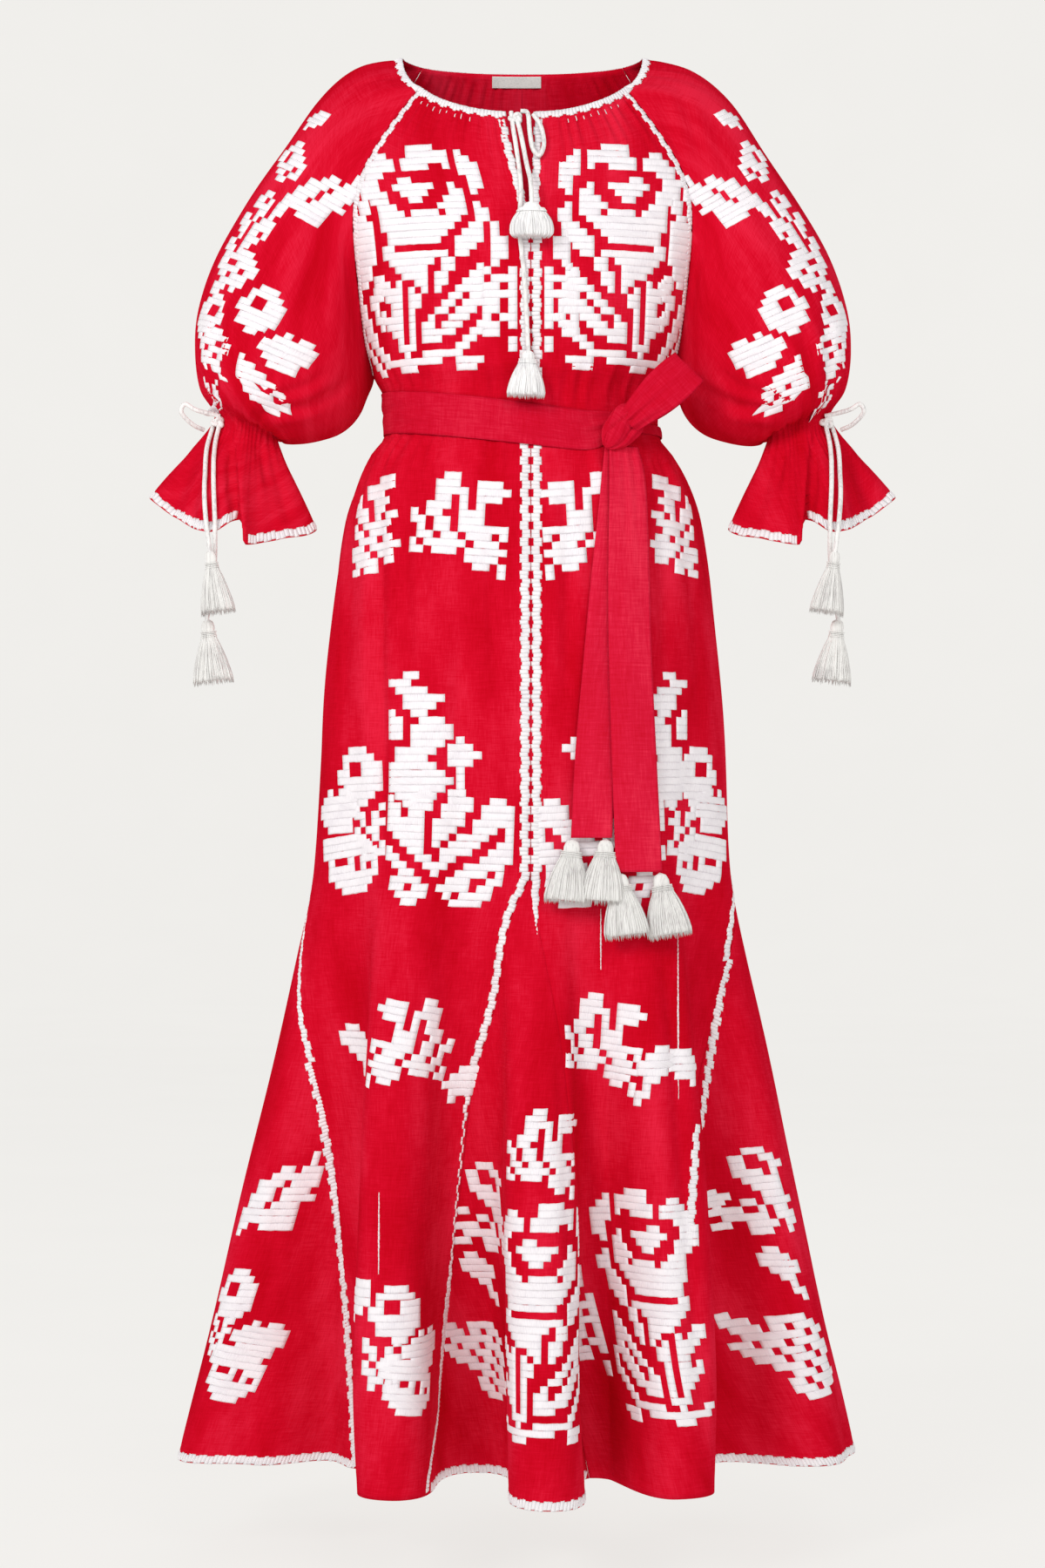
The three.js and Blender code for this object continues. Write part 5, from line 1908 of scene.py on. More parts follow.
@dataclass
class Satin:
    """Satin stitching on one patch: blocks of thread side by side, each a little domed."""

    patch: Patch
    rise: float = 0.62
    rim: float = 0.12
    seed: int = 3
    facet: float = 4.8
    overlap: float = 0.25
    thick: float = 0.35
    skein: float = 0.013
    blocks: list[tuple[float, float, float, float, float]] = field(default_factory=list)

    def block(self, s: float, v: float, length: float, width: float, turn: float = 0.0) -> None:
        """Adds a block: its middle, its length along the turned row, and its threads' length."""
        self.blocks.append((s, v, length, width, turn))

    def chart(self, motif: Motif) -> None:
        """Charts a motif, row by row, in runs of filled cells.

        Args:
            motif: the motif.
        """
        rows = [line for line in motif.chart.split() if line]
        columns = max(len(line) for line in rows)
        rows = [line.ljust(columns, ".") for line in rows]
        if motif.flip:
            rows = [line[::-1] for line in rows]
        middle, centre = self.patch.seat(motif.x, motif.z)
        source = np.random.default_rng(hash_of(motif.chart) + int(abs(motif.x)))
        wide, tall = motif.cell
        turn = math.radians(motif.tilt)
        for r, line in enumerate(rows):
            c = 0
            while c < columns:
                if line[c] != "#":
                    c += 1
                    continue
                run = len(line[c:]) - len(line[c:].lstrip("#"))
                across = (c + run / 2 - columns / 2) * wide
                up = (len(rows) / 2 - r - 0.5) * tall
                s = middle + across * math.cos(turn) - up * math.sin(turn)
                v = centre + across * math.sin(turn) + up * math.cos(turn)
                loose = source.random() < 0.1
                self.block(s, v, run * wide + 0.4, tall - 0.2 if loose else tall + 0.4, turn)
                c += run

    def trim(self, s: Array, v: Array, width: Array | float = 8.4, sway: float = 1.6, period: float = 15.8,
             pitch: float = 3.95, side: int = 1) -> None:
        """A scalloped band of short blocks along a line.

        Args:
            s: the line's places across.
            v: its places down.
            width: the band's width, or its width at each place.
            sway: how far its blocks step to each side.
            period: the length of one scallop.
            pitch: the length of a block.
            side: 1, or -1 for a mirrored band.
        """
        line = np.stack([s, v, np.broadcast_to(width, np.shape(s))], axis=1)
        length = spans(line[:, :2]).sum()
        count = max(int(length / pitch), 2)
        line = evenly(line, 2 * count + 1)
        along = np.gradient(line[:, :2], axis=0)
        along /= np.linalg.norm(along, axis=1, keepdims=True)
        for i in range(1, 2 * count, 2):
            place = i * length / (2 * count)
            step = sway * side * np.round(1.5 * math.sin(TURN * place / period)) / 1.5
            way = along[i]
            s0 = line[i, 0] - way[1] * step
            v0 = line[i, 1] + way[0] * step
            turn = math.atan2(way[1], way[0])
            self.block(float(s0), float(v0), length / count + self.overlap, float(line[i, 2]), turn)

    def beside(self, last: bool, off: float, v: Array, **look: float) -> None:
        """A scalloped band beside an edge of the patch.

        Args:
            last: whether it is the edge of the patch's last column.
            off: how far along s the band's middle is from the edge.
            v: its places down.
            look: what else trim takes.
        """
        self.trim(self.patch.edge(v, last) + off, v, **look)

    def make(self, name: str, finish: bpy.types.Material) -> bpy.types.Object | None:
        """Builds the stitching as one piece.

        Args:
            name: the piece's name.
            finish: the thread.

        Returns:
            The piece, or None where nothing is stitched.
        """
        if not self.blocks:
            return None
        source = np.random.default_rng(self.seed)
        shape = bmesh.new()
        flat: list[tuple[float, float, float, float, float]] = []
        for s, v, length, width, turn in self.blocks:
            columns = max(2, math.ceil(length / self.facet))
            made = bmesh.ops.create_grid(shape, x_segments=columns, y_segments=3, size=1.0)
            ragged = source.uniform(-0.3, 0.3, (2, columns + 1))
            lift = source.uniform(-0.05, 0.07)
            cos, sin = math.cos(turn), math.sin(turn)
            for vert in made["verts"]:
                a, w = vert.co.x, vert.co.y
                c = round((a + 1) / 2 * columns)
                w = math.copysign(abs(w) ** 0.4, w)
                edge = abs(w) ** 8
                side = w * width / 2 + edge * ragged[0 if w < 0 else 1, c]
                along = a * length / 2
                height = self.rim + (self.rise + lift) * (1 - edge) * (1 - 0.7 * abs(a) ** (2 * columns + 4))
                flat.append((s + along * cos - side * sin, v + along * sin + side * cos, height, along, side))
        spots = np.array(flat)
        places = self.patch.at(spots[:, 0], spots[:, 1], spots[:, 2]) * MM
        # Each few blocks take their thread's unevenness from another part of it.
        shift = self.skein * (np.arange(len(spots)) // 60 % 17)
        mapped(shape, np.stack([spots[:, 3] * MM + shift, spots[:, 4] * MM], axis=1))
        put(shape, places)
        shape.normal_update()
        # The patch's rows fall or rise: the stitching faces the way its cloth does.
        first = shape.faces[:][0]
        middle = self.patch.at(spots[:1, 0], spots[:1, 1], 1.0) - self.patch.at(spots[:1, 0], spots[:1, 1], 0.0)
        if first.normal.dot(Vector(middle[0])) < 0:
            bmesh.ops.reverse_faces(shape, faces=shape.faces)
        return finished(walled(mesh_object(name, shape), self.thick), finish, "white_thread")


@dataclass
class Embroidery:
    """The charted flowers and the scalloped trims."""

    body: BodyCloth
    sleeves: SleeveCloth
    sewn: dict[str, list[bpy.types.Object | None]] = field(default_factory=dict)
    slit_end: float = -196
    godet_from: float = -818
    hem_rise: float = 4.4
    motifs: tuple[Motif, ...] = (
        # chest, hips and knees, on both front panels: each on the wearer's right, then on the left
        *(Motif(f"front_{word}", chart, *place, flip=word == "left", tilt=tilt if word == "right" else -tilt, cell=cell)
          for chart, right, left, tilt, cell in (
              (ROSE_TALL, (-92, -213), (96, -213), 0, (7, 6.7)), (SIDE_SPRAY, (-153, -230), (153, -230), 0, (7, 7)),
              (SLIM_BUDS, (-22, -245), (38, -245), 0, CELL), (SPRIG, (-62, -474), (68, -474), -4, CELL),
              (SPRIG_SMALL, (-147, -472), (152, -472), 5, (8, 7.3)),
              (CROWN, (-100, -682), (138, -682), 0, CELL), (STEM_BUD, (-56, -712), (55, -705), 0, CELL),
              (CLUSTER, (-72, -787), (78, -787), -2, (8, 7.1)), (SMALL_ROSE, (-160, -718), (172, -718), 2, CELL),
              (LEAF_FAN, (-183, -752), (190, -752), 4, CELL), (TWIGS, (-150, -770), (156, -770), 4, CELL),
              (BUD_ROSE, (-168, -804), (176, -804), 8, CELL))
          for word, place in (("right", right), ("left", left))),
        # calves
        Motif("front_right", TWIN_BUD, -160, -990),
        Motif("front_right", SPRIG, -105, -979, flip=True, tilt=-10, cell=(7.6, 6.8)),
        Motif("front_right", STUB, -60, -1018),
        Motif("front_left", SPRIG, 76, -976, tilt=-6, cell=(7.6, 6.8)),
        Motif("front_left", TWIN_BUD, 129, -1007, flip=True),
        Motif("front_left", STUB, 160, -1000, flip=True),
        # hem, long panels
        Motif("front_right", SMALL_ROSE, -121, -1233, cell=(8, 6.8)),
        Motif("front_right", LEAF_FAN, -93, -1268, cell=(10, 6.2)),
        Motif("front_right", BUD_ROSE, -106, -1302, tilt=-6, cell=(8, 6.4)),
        Motif("front_right", TWIGS, -136, -1280, cell=(8, 7)),
        Motif("front_right", STUB, -160, -1222, cell=(8.4, 8.4)),
        Motif("front_left", ROSE_TALL, 119, -1227, flip=True, cell=(7, 6.7)),
        Motif("front_left", SLIM_BUDS, 58, -1240),
        # hem, centre front godet
        Motif("godet_front", SPRIG, 20, -1080, cell=(6.8, 6.2)),
        Motif("godet_front", ROSE_TALL, 18, -1236, cell=(7, 6.7)),
        Motif("godet_front", SIDE_BLOOM, -42, -1139, cell=(5.8, 7.4)),
        Motif("godet_front", TWIN_BUD, -40, -1210, cell=(6.6, 6.6)),
        Motif("godet_front", WING_BUD, -42, -1288, cell=(5.6, 6.9)),
        # hem, side godets
        Motif("godet_right", LEAF, -240, -1133, cell=(7, 7.2)),
        Motif("godet_right", SMALL_ROSE, -288, -1236, cell=(6.4, 7)),
        Motif("godet_right", LEAF_FAN, -263, -1278, tilt=-8, cell=(8.2, 5.8)),
        Motif("godet_right", BUD_ROSE, -290, -1314, tilt=-8, cell=(7, 6.8)),
        Motif("godet_right", TWIGS, -305, -1276, cell=(5.6, 6)),
        Motif("godet_left", SIDE_BLOOM, 221, -1130, tilt=4, cell=(8, 7.2)),
        Motif("godet_left", PETAL, 188, -1139, tilt=5, cell=(5.4, 5.6)),
        Motif("godet_left", TWIN_BUD, 259, -1212, cell=(8.2, 6.8)),
        Motif("godet_left", WING_BUD, 263, -1293, tilt=6, cell=(8.6, 7.6)),
        # sleeves
        *(Motif(piece, chart, side * x, z, flip, cell=cell)
          for piece, side in (("sleeve_right", -1), ("sleeve_left", 1))
          for chart, x, z, flip, cell in (
              (STUB, 205, -68, side > 0, (5.6, 5.2)), (POSY, 229, -113, side > 0, (6.6, 6.6)),
              (LEAF, 195, -151, side > 0, (5.4, 6.2)), (BUDS, 262, -176, side > 0, (6, 7.2)),
              (SWIRL, 284, -225, side > 0, (7, 6.6)), (SMALL_ROSE, 256, -263, side > 0, (6.8, 6.6)),
              (SMALL_ROSE, 308, -266, side < 0, (6, 6)), (LEAF_FAN, 231, -306, side > 0, (7.8, 7)),
              (SLANT_BUD, 255, -337, side > 0, (6.4, 6)), (SWIRL, 304, -304, side < 0, (6, 6)),
              (TWIGS, 297, -346, side > 0, (4.6, 4.6)))),
    )

    def raglan_strip(self, name: str, last: bool) -> Patch:
        """The strip of a panel beside its raglan seam, its rows the panel's own.

        Args:
            name: the panel.
            last: whether the seam is the panel's last column.

        Returns:
            The patch; v is the way down the seam.
        """
        grid = self.body.grids[name][: self.body.yoke_rows + 1]
        strip = grid[:, -16:] if last else grid[:, :16]
        seam = strip[:, -1] if last else strip[:, 0]
        wide = spans(strip, 1).sum(axis=1)
        return Patch(strip, -wide if last else 0 * wide, -running(seam))

    def sew(self) -> None:
        """Sews the flowers on each cut piece."""
        patches = dict(self.body.patches)
        for word in ("left", "right"):
            patches[f"sleeve_{word}"] = self.sleeves.chart_patch(word)
        for name, patch in patches.items():
            satin = Satin(patch, seed=hash_of(name))
            for motif in self.motifs:
                if motif.piece == name:
                    satin.chart(motif)
            self.sewn[name] = [satin.make(name + "_flowers", finish_of(Finish.STITCH))]

    @staticmethod
    def peep(satin: Satin, x: float, top: float, bottom: float) -> None:
        """A row's edge that just peeps out of a fold, x to the wearer's left from top to bottom.

        Args:
            satin: the stitching that takes the rows.
            x: millimetres to the wearer's left.
            top: where it starts.
            bottom: where it ends.
        """
        v = np.linspace(top, bottom, 40)
        width = np.interp(v, [bottom, (top + bottom) / 2, top], [0.7, 1.7, 0.7])
        satin.trim(satin.patch.s_along(x, v), v, width=width, sway=0.0)

    def trims(self) -> None:
        """Sews the scalloped trims along the seams and hems."""
        self.sewn_on(self.front_rows, 7, "_trim", (("front_left", 1), ("front_right", -1)))
        self.sewn_on(self.flute_row, 11, "_seam_trim", (("godet_right", -1), ("godet_left", 1)))
        self.sewn_on(self.back_rows, 8, "_trim", (("back_left", 1), ("back_right", -1)))
        for name, last in (("front_left", True), ("front_right", False), ("back_left", False), ("back_right", True)):
            patch = self.raglan_strip(name, last)
            satin = Satin(patch, seed=12, rise=0.7, rim=0.35)
            v = np.linspace(-5, float(patch.down[-1]) + 3, 120)
            way = -1 if last else 1
            satin.beside(last, 3.8 * way, v, side=way, width=7.0, sway=1.3)
            self.sewn[name].append(satin.make(name + "_raglan_trim", finish_of(Finish.TRIM)))
        for word in ("left", "right"):
            satin = Satin(self.sleeves.hem_patch(word), seed=14, rise=0.75)
            self.frill_row(satin)
            self.sewn[f"sleeve_{word}"].append(satin.make(f"sleeve_{word}_hem_trim", finish_of(Finish.TRIM)))
        godets = ("godet_left", "godet_right", "godet_front", "godet_back")
        self.sewn_on(self.hem_row, 9, "_hem_trim", [(name, 1) for name in godets])

    def sewn_on(self, rows: Callable[[Satin, int], None], seed: int, ending: str,
                on: Sequence[tuple[str, int]]) -> None:
        """Sews rows on cut pieces.

        Args:
            rows: what lays them out.
            seed: the seed of the stitches' unevenness.
            ending: how the new pieces' names end.
            on: each cut piece's name and its side, 1 on the wearer's left or -1.
        """
        for name, side in on:
            satin = Satin(self.body.patches[name], seed=seed, rise=0.75)
            rows(satin, side)
            self.sewn[name].append(satin.make(name + ending, finish_of(Finish.TRIM)))

    def front_rows(self, satin: Satin, side: int) -> None:
        """The rows of a front panel: slit, centre seam, centre godet and side godet.

        Args:
            satin: the stitching that takes the rows.
            side: 1 on the wearer's left, -1 on the right.
        """
        patch, right, hem = satin.patch, side < 0, FORM.hem_z + 3
        start = self.godet_from
        satin.beside(right, 5.6 * side, np.linspace(-392, start, 120), side=side)
        satin.beside(right, 5.6 * side, np.linspace(self.slit_end, -346, 60), side=side)
        satin.beside(right, 4.6 * side, np.linspace(-78, self.slit_end, 40), side=side, width=7.6, sway=1.2)
        # The wearer's left row thins out beside the godet; the right one comes forward at the hem.
        godet = np.linspace(start, hem if right else -872, 150)
        away = np.interp(-godet, [818, 1010, 1200], [5, 4, 2] if right else [5, -24, -24])
        row = patch.edge(godet, right) + away * side
        if right:
            thin = np.interp(-godet, [1010, 1060, 1180, 1240], [7.6, 1.8, 1.8, 7.6])
            flute = patch.s_along(np.interp(-godet, [1280, 1337, 1396], [-77, -82, -91]), godet)
            row = np.where(godet < -1280, np.minimum(row, flute), row)
        else:
            thin = np.interp(-godet, [835, 868], [7.6, 1.2])
        satin.trim(row, godet, side=side, width=thin, sway=1.1 if right else 0.9)
        outer = np.linspace(FORM.godet_top_z - 2, -1000 if right else -1168, 150)
        row = patch.edge(outer, not right) - 2.0 * side
        if right:
            self.peep(satin, -138, -1118, -1195)
            satin.trim(row, outer, side=side, width=8.0)
            # Below the flute the row comes round on to the panel's own hem.
            low = np.full(12, FORM.hem_z + self.hem_rise)
            ends = patch.s_where(-88, FORM.hem_z + 4), float(patch.edge(low[:1], right)[0]) - 1
            satin.trim(np.linspace(*ends, 12), low, width=8.2, sway=0.9, period=13)
            return
        # The skirt's flute hides this seam lower down, so its row is worked along the flute.
        shown = np.interp(-outer, [815, 862, 971, 1029, 1056, 1087, 1150, 1168],
                          [213, 207, 190, 180, 169.5, 167, 162, 161])
        row = np.minimum(row, patch.s_along(shown, outer))
        for x, top, bottom in ((76, -846, -905), (151, -868, -1030)):
            self.peep(satin, x, top, bottom)
        for part in (outer > -900, outer < -1054):
            satin.trim(row[part], outer[part], side=side, width=8.0)

    def flute_row(self, satin: Satin, side: int) -> None:
        """The row on a side godet, where its panel's flute rolls over their seam.

        Args:
            satin: the stitching that takes the rows.
            side: 1 on the wearer's left, -1 on the right.
        """
        heights, places = {
            -1: ((1000, 1047, 1088, 1129, 1170, 1251, 1332, 1402), (204.5, 199, 193, 187, 183, 176, 170, 165)),
            1: ((898, 920, 961, 1002, 1028, 1066), (200, 197, 191, 184.5, 180.5, 176)),
        }[side]
        v = -np.linspace(heights[0], heights[-1], 12 * len(heights))
        satin.trim(satin.patch.s_along(side * np.interp(-v, heights, places), v), v, side=side, width=8.0)

    def back_rows(self, satin: Satin, side: int) -> None:
        """The rows of a back panel: side godet and back godet.

        Args:
            satin: the stitching that takes the rows.
            side: 1 on the wearer's left, -1 on the right.
        """
        hem = FORM.hem_z + 3
        satin.beside(side < 0, 2.0 * side, np.linspace(FORM.godet_top_z - 2, hem, 150), side=side, width=8.0)
        satin.beside(side > 0, -5.0 * side, np.linspace(self.godet_from, hem, 150), side=-side, width=7.6)

    def frill_row(self, satin: Satin) -> None:
        """The row along a frill's hem, which stops at the side of the inner flute, over the outer one.

        Args:
            satin: the stitching that takes the rows.
        """
        patch, high = satin.patch, 4.9
        around = np.linspace(0.5, float(patch.step[0]) * (patch.points.shape[1] - 1) - 0.5, 300)
        where = patch.at(around, np.full(300, high))
        rolled = (where[:, 1] < -10) & (np.abs(np.abs(where[:, 0]) - 272) < 4.5)
        first, after = int(np.argmax(rolled)), len(rolled) - int(np.argmax(rolled[::-1]))
        for part in (around[:first], around[after:]):
            satin.trim(part, np.full(len(part), high), width=8.0, sway=0.9, period=13)

    def hem_row(self, satin: Satin, side: int) -> None:
        """The row along a godet's hem.

        Args:
            satin: the stitching that takes the rows.
            side: 1 on the wearer's left, -1 on the right.
        """
        low = np.full(200, FORM.hem_z + self.hem_rise)
        first, last = (float(satin.patch.edge(low[:1], last)[0]) for last in (False, True))
        satin.trim(np.linspace(first + 3, last - 3, 200), low, width=8.2, sway=0.9, period=13, side=side)


# ---- sash ----------------------------------------------------------------------------------------
def front_seat(x: Array, z: Array) -> tuple[Array, Array]:
    """The course and angle where the front of the dress is x to the wearer's left at a height.

    Args:
        x: millimetres to the wearer's left.
        z: height, in millimetres.

    Returns:
        The courses and the angles.
    """
    x, z = np.broadcast_arrays(np.asarray(x, float), np.asarray(z, float))
    heights = FORM.yoke["front"].columns["centre_z"]
    upper = curve_through(heights, np.arange(len(heights), dtype=float), z)
    course = np.where(z > FORM.armpit_z, upper, FORM.course_at(z))
    return course, FORM.front_angle(course, x)


def on_front(x: Array, z: Array, off: Array) -> Array:
    """Points on the front of the dress, or off it along its outward direction."""
    course, angle = front_seat(x, z)
    return FORM.point(course, angle) + FORM.normal(course, angle) * np.asarray(off, float)[..., None]


def off_skirt(x: Array, z: Array, off: Array) -> Array:
    """Points that stand off the front of the skirt, forward and a little to the side.

    Args:
        x: millimetres to the wearer's left.
        z: height, in millimetres.
        off: how far they stand off.

    Returns:
        Points, in millimetres.
    """
    course, angle = front_seat(x, z)
    away = unit(np.stack([0.3 * np.sin(np.radians(angle)), -np.ones_like(angle), 0 * angle], axis=-1))
    return FORM.point(course, angle) + away * np.broadcast_to(off, angle.shape)[..., None]


@dataclass
class Sash:
    """The sash: its wrap round the waist, its knot on the wearer's left, a loop and two hanging ends."""

    top_z: float = -354
    slope: float = -0.125
    level_from: float = 60
    width: float = 41
    off: float = 1.2
    cloth: float = 0.8
    knot_x: float = 88
    knot_z: float = -379
    knot_half: tuple[float, float, float] = (18.5, 11.2, 26.5)
    knot_facing: float = 25
    knot_out: float = 20.1
    loop_turn: float = 42
    loop_start: float = 5.2
    loop: Table = field(default_factory=lambda: Table("out front width", [
        (2, 7, 25), (20, 10.5, 32), (42, 10.5, 40), (62, 9, 42), (79, 6, 40), (84, 0.5, 39),
        (79, -4.5, 40), (62, -5, 42), (42, -4, 40), (25, -3, 34), (9, -2, 24)]))
    ends: dict[str, Table] = field(default_factory=lambda: {
        "under": Table("z x width off", [
            (-396, 92, 25, 5.5), (-430, 91, 31, 4), (-520, 84, 36, 4), (-620, 76, 37, 4.5),
            (-700, 69, 37, 5), (-777, 64.5, 38, 9)]),
        "over": Table("z x width off", [
            (-396.8, 97, 28, 9.5), (-430, 100, 35, 9.5), (-520, 101, 39, 9.5), (-620, 102, 40, 9.5),
            (-720, 104, 41, 10), (-810, 107, 42, 13)]),
    })

    def middle(self) -> Array:
        """The knot's middle.

        Returns:
            The place, in millimetres.
        """
        course, angle = front_seat(np.array(self.knot_x), np.array(self.knot_z))
        turn = math.radians(self.knot_facing)
        return FORM.point(course, angle) + self.knot_out * np.array([math.sin(turn), -math.cos(turn), 0])

    def wrap(self) -> bpy.types.Object:
        """The band round the waist, with the creases that its pull towards the knot gives it.

        Returns:
            The piece.
        """
        angles = np.linspace(40, 400, 241)
        shares = np.linspace(0, 1, 15)[:, None]
        plain = FORM.plain_ring(np.full_like(angles, self.top_z), angles)
        z = self.top_z + self.slope * np.minimum(plain[:, 0], self.level_from) - self.width * shares
        # The band is drawn in where it meets the knot, and stays bunched beyond it.
        turn = np.mod(angles + 180, 360) - 180
        before = bell(np.minimum(turn - 38, 0) / 11) * (turn <= 90)
        after = smooth((turn - 34) / 16) * (1 - smooth((turn - 96) / 50))
        z = z + self.width * shares * 0.32 * np.maximum(before, after) - (1 - shares) * 9 * after + shares * 9 * after
        points = FORM.ring_point(z, np.broadcast_to(angles, z.shape))
        away = unit(np.stack([plain[:, 0], plain[:, 1] * 1.6, 0 * angles], axis=-1))
        straight = points[:1] * (1 - shares[..., None]) + points[-1:] * shares[..., None]
        hollow = ((straight - points) * away).sum(axis=-1) > 0
        points = np.where(hollow[..., None], straight, points)
        uneven = Unevenness(41)
        round_it = angles[None, :] * 2.6
        crease = uneven.pleats(self.width * shares + 6 * np.sin(round_it / 60), round_it, 15, 300)
        soft = uneven.swell(round_it, self.width * shares, 40, 140, 0.5)
        near_knot = bell((np.mod(angles + 144, 360) - 180) / 30) * (1 - 0.9 * smooth((turn - 50) / 18))
        ease = np.sin(np.pi * shares) ** 0.7
        drawn = np.cos(TURN * (shares * 2.6 + 0.35 * np.sin(round_it / 55)) + 0.8)
        drawn = (0.5 * soft + 0.45 * crease + (0.3 + 1.3 * near_knot) * drawn) * (1 - 0.9 * after)
        move = self.off + 0.9 + ease * (drawn + 0.8 * after)
        move = move + 0.35 * bell((self.width * (0.5 - np.abs(shares - 0.5)) - 1.2) / 1.6)
        points = points + away * np.clip(move, 0.7, 4.2)[..., None]
        uv = paired(round_it, -self.width * shares)
        return sheet_on("sash_wrap_cloth", points, uv, around=True, thick=self.cloth)

    def loop_band(self) -> bpy.types.Object:
        """The loop that stands out of the knot and folds back into it.

        Returns:
            The piece.
        """
        middle = self.middle()
        turn = math.radians(self.loop_turn)
        along = np.array([math.cos(turn), 0, math.sin(turn)])
        across = np.array([-along[2], 0, along[0]])
        row = self.loop.at(np.linspace(0, 10, 96))
        spine = middle + along * (row["out"] + self.loop_start)[:, None]
        spine = spine + np.array([0, -1.0, 0]) * row["front"][:, None]
        shares = np.linspace(-0.5, 0.5, 21)
        points = spine[:, None] + across * (row["width"][:, None] * shares)[..., None]
        uneven = Unevenness(43)
        lengths = running(spine)[:, None]
        fan = uneven.pleats(shares[None, :] * 36, lengths, 13, 120)
        near = np.exp(-(row["out"][:, None] - 13) / 26)
        soft = uneven.swell(shares[None, :] * 40, lengths, 22, 60, 1.6)
        cupped = 2.2 * (4 * shares[None, :] ** 2 - 0.4) * np.exp(-(row["out"][:, None] - 13) / 40)
        facing = np.where(np.linspace(0, 10, 96) < 5, 1.0, -1.0)[:, None]
        move = 1.9 * near * fan + 0.9 * soft * np.sin(np.pi * np.linspace(0, 1, 96))[:, None] - cupped * facing
        points = points + grid_normals(points) * move[..., None]
        uv = paired(shares[None, :] * self.width, lengths)
        return sheet_on("sash_loop_cloth", points, uv, thick=self.cloth)

    def hanging_end(self, name: str, seed: int) -> bpy.types.Object:
        """One hanging end, pleated where it leaves the knot and plain below, with a narrow hem.

        Args:
            name: under or over.
            seed: the seed of its unevenness.

        Returns:
            The piece.
        """
        rows = 130
        row = self.ends[name].at(np.linspace(0, 5, rows))
        shares = np.linspace(-0.5, 0.5, 19)
        uneven = Unevenness(seed)
        down = -(row["z"] - row["z"][0])
        sway = 0.7 * np.sin(down / 61 + seed)
        x = row["x"][:, None] + row["width"][:, None] * shares + sway[:, None] * smooth(down / 80)[:, None]
        z = np.broadcast_to(row["z"][:, None], x.shape)
        points = off_skirt(x, z, row["off"][:, None] + 0.3)
        pleat = uneven.pleats(shares[None, :] * 38, down[:, None], 15, 260)
        soft = uneven.swell(shares[None, :] * 42, down[:, None], 34, 110, 3.5)
        near = np.exp(-down / 62)[:, None]
        edge = smooth((0.5 - np.abs(shares)) * 42 / 4)[None, :]
        hem = 0.45 * bell((down[-1] - down - 12) / 1.6)[:, None]
        move = 1.6 * near * pleat + 1.3 * soft * (0.4 + 0.6 * edge) - hem
        points = points + np.array([0.1, -1.0, 0]) * (move + 0.5)[..., None]
        uv = paired(shares[None, :] * self.width, -down[:, None])
        return sheet_on(f"sash_end_{name}_cloth", points, uv, thick=self.cloth)

    def knot(self) -> bpy.types.Object:
        """The knot: the band drawn round itself on the slant, its creases running with the loop.

        Returns:
            The piece.
        """
        shape = bmesh.new()
        bmesh.ops.create_uvsphere(shape, u_segments=120, v_segments=56, radius=1.0)
        uneven = Unevenness(47)
        spots = np.array([vert.co[:] for vert in shape.verts])
        round_it = np.arctan2(spots[:, 1], spots[:, 0])
        along = spots[:, 2]
        waist = (1 - 0.12 * bell((along + 0.1) / 0.3)) * (1 - 0.3 * smooth(-along))
        block = power_of(spots, 0.9) * np.array(self.knot_half)
        block[:, :2] *= waist[:, None]
        twist = round_it + 0.55 * along
        pleats = np.cos(7 * twist + 0.5) * 0.6 + np.cos(12 * twist + 2 + 1.2 * along) * 0.4
        fine = uneven.swell(round_it * 16, along * 20, 7, 22, 2.4)
        ends = np.sqrt(np.maximum(1 - along**2, 0))
        tuck = bell((round_it + 1.15 + 0.5 * along) / 0.13) + 0.8 * bell((round_it + 2.1 - 0.7 * along) / 0.11)
        move = (0.3 + 0.8 * pleats + 0.35 * fine - 3.2 * tuck) * ends
        block = block + unit(block * np.array([1, 1, 0.2]) + 1e-9) * move[:, None]
        lean = math.radians(43)
        tip = np.array([[math.cos(lean), 0, math.sin(lean)], [0, 1, 0], [-math.sin(lean), 0, math.cos(lean)]])
        turn = math.radians(self.knot_facing)
        spin = np.array([[math.cos(turn), -math.sin(turn), 0], [math.sin(turn), math.cos(turn), 0], [0, 0, 1]])
        mapped(shape, np.stack([twist * 16, along * 30], axis=1) * MM)
        put(shape, (self.middle() + block @ tip.T @ spin.T) * MM)
        return mesh_object("sash_knot_cloth", shape)

    def make(self) -> dict[str, bpy.types.Object]:
        """Builds the sash; returns its pieces by name.

        Returns:
            The pieces by name.
        """
        pieces = {
            "sash_wrap": self.wrap(), "sash_knot": self.knot(), "sash_loop": self.loop_band(),
            "sash_end_under": self.hanging_end("under", 51), "sash_end_over": self.hanging_end("over", 52),
        }
        for name, piece in pieces.items():
            # The wrap, knot and loop take the darker copy of the sash's linen, which is painted shade; the hanging ends
            # take the plain one.
            drawn = name in ("sash_wrap", "sash_knot", "sash_loop")
            finished(piece, finish_of(Finish.WRAP if drawn else Finish.SASH), "sash_linen", name)
        return pieces


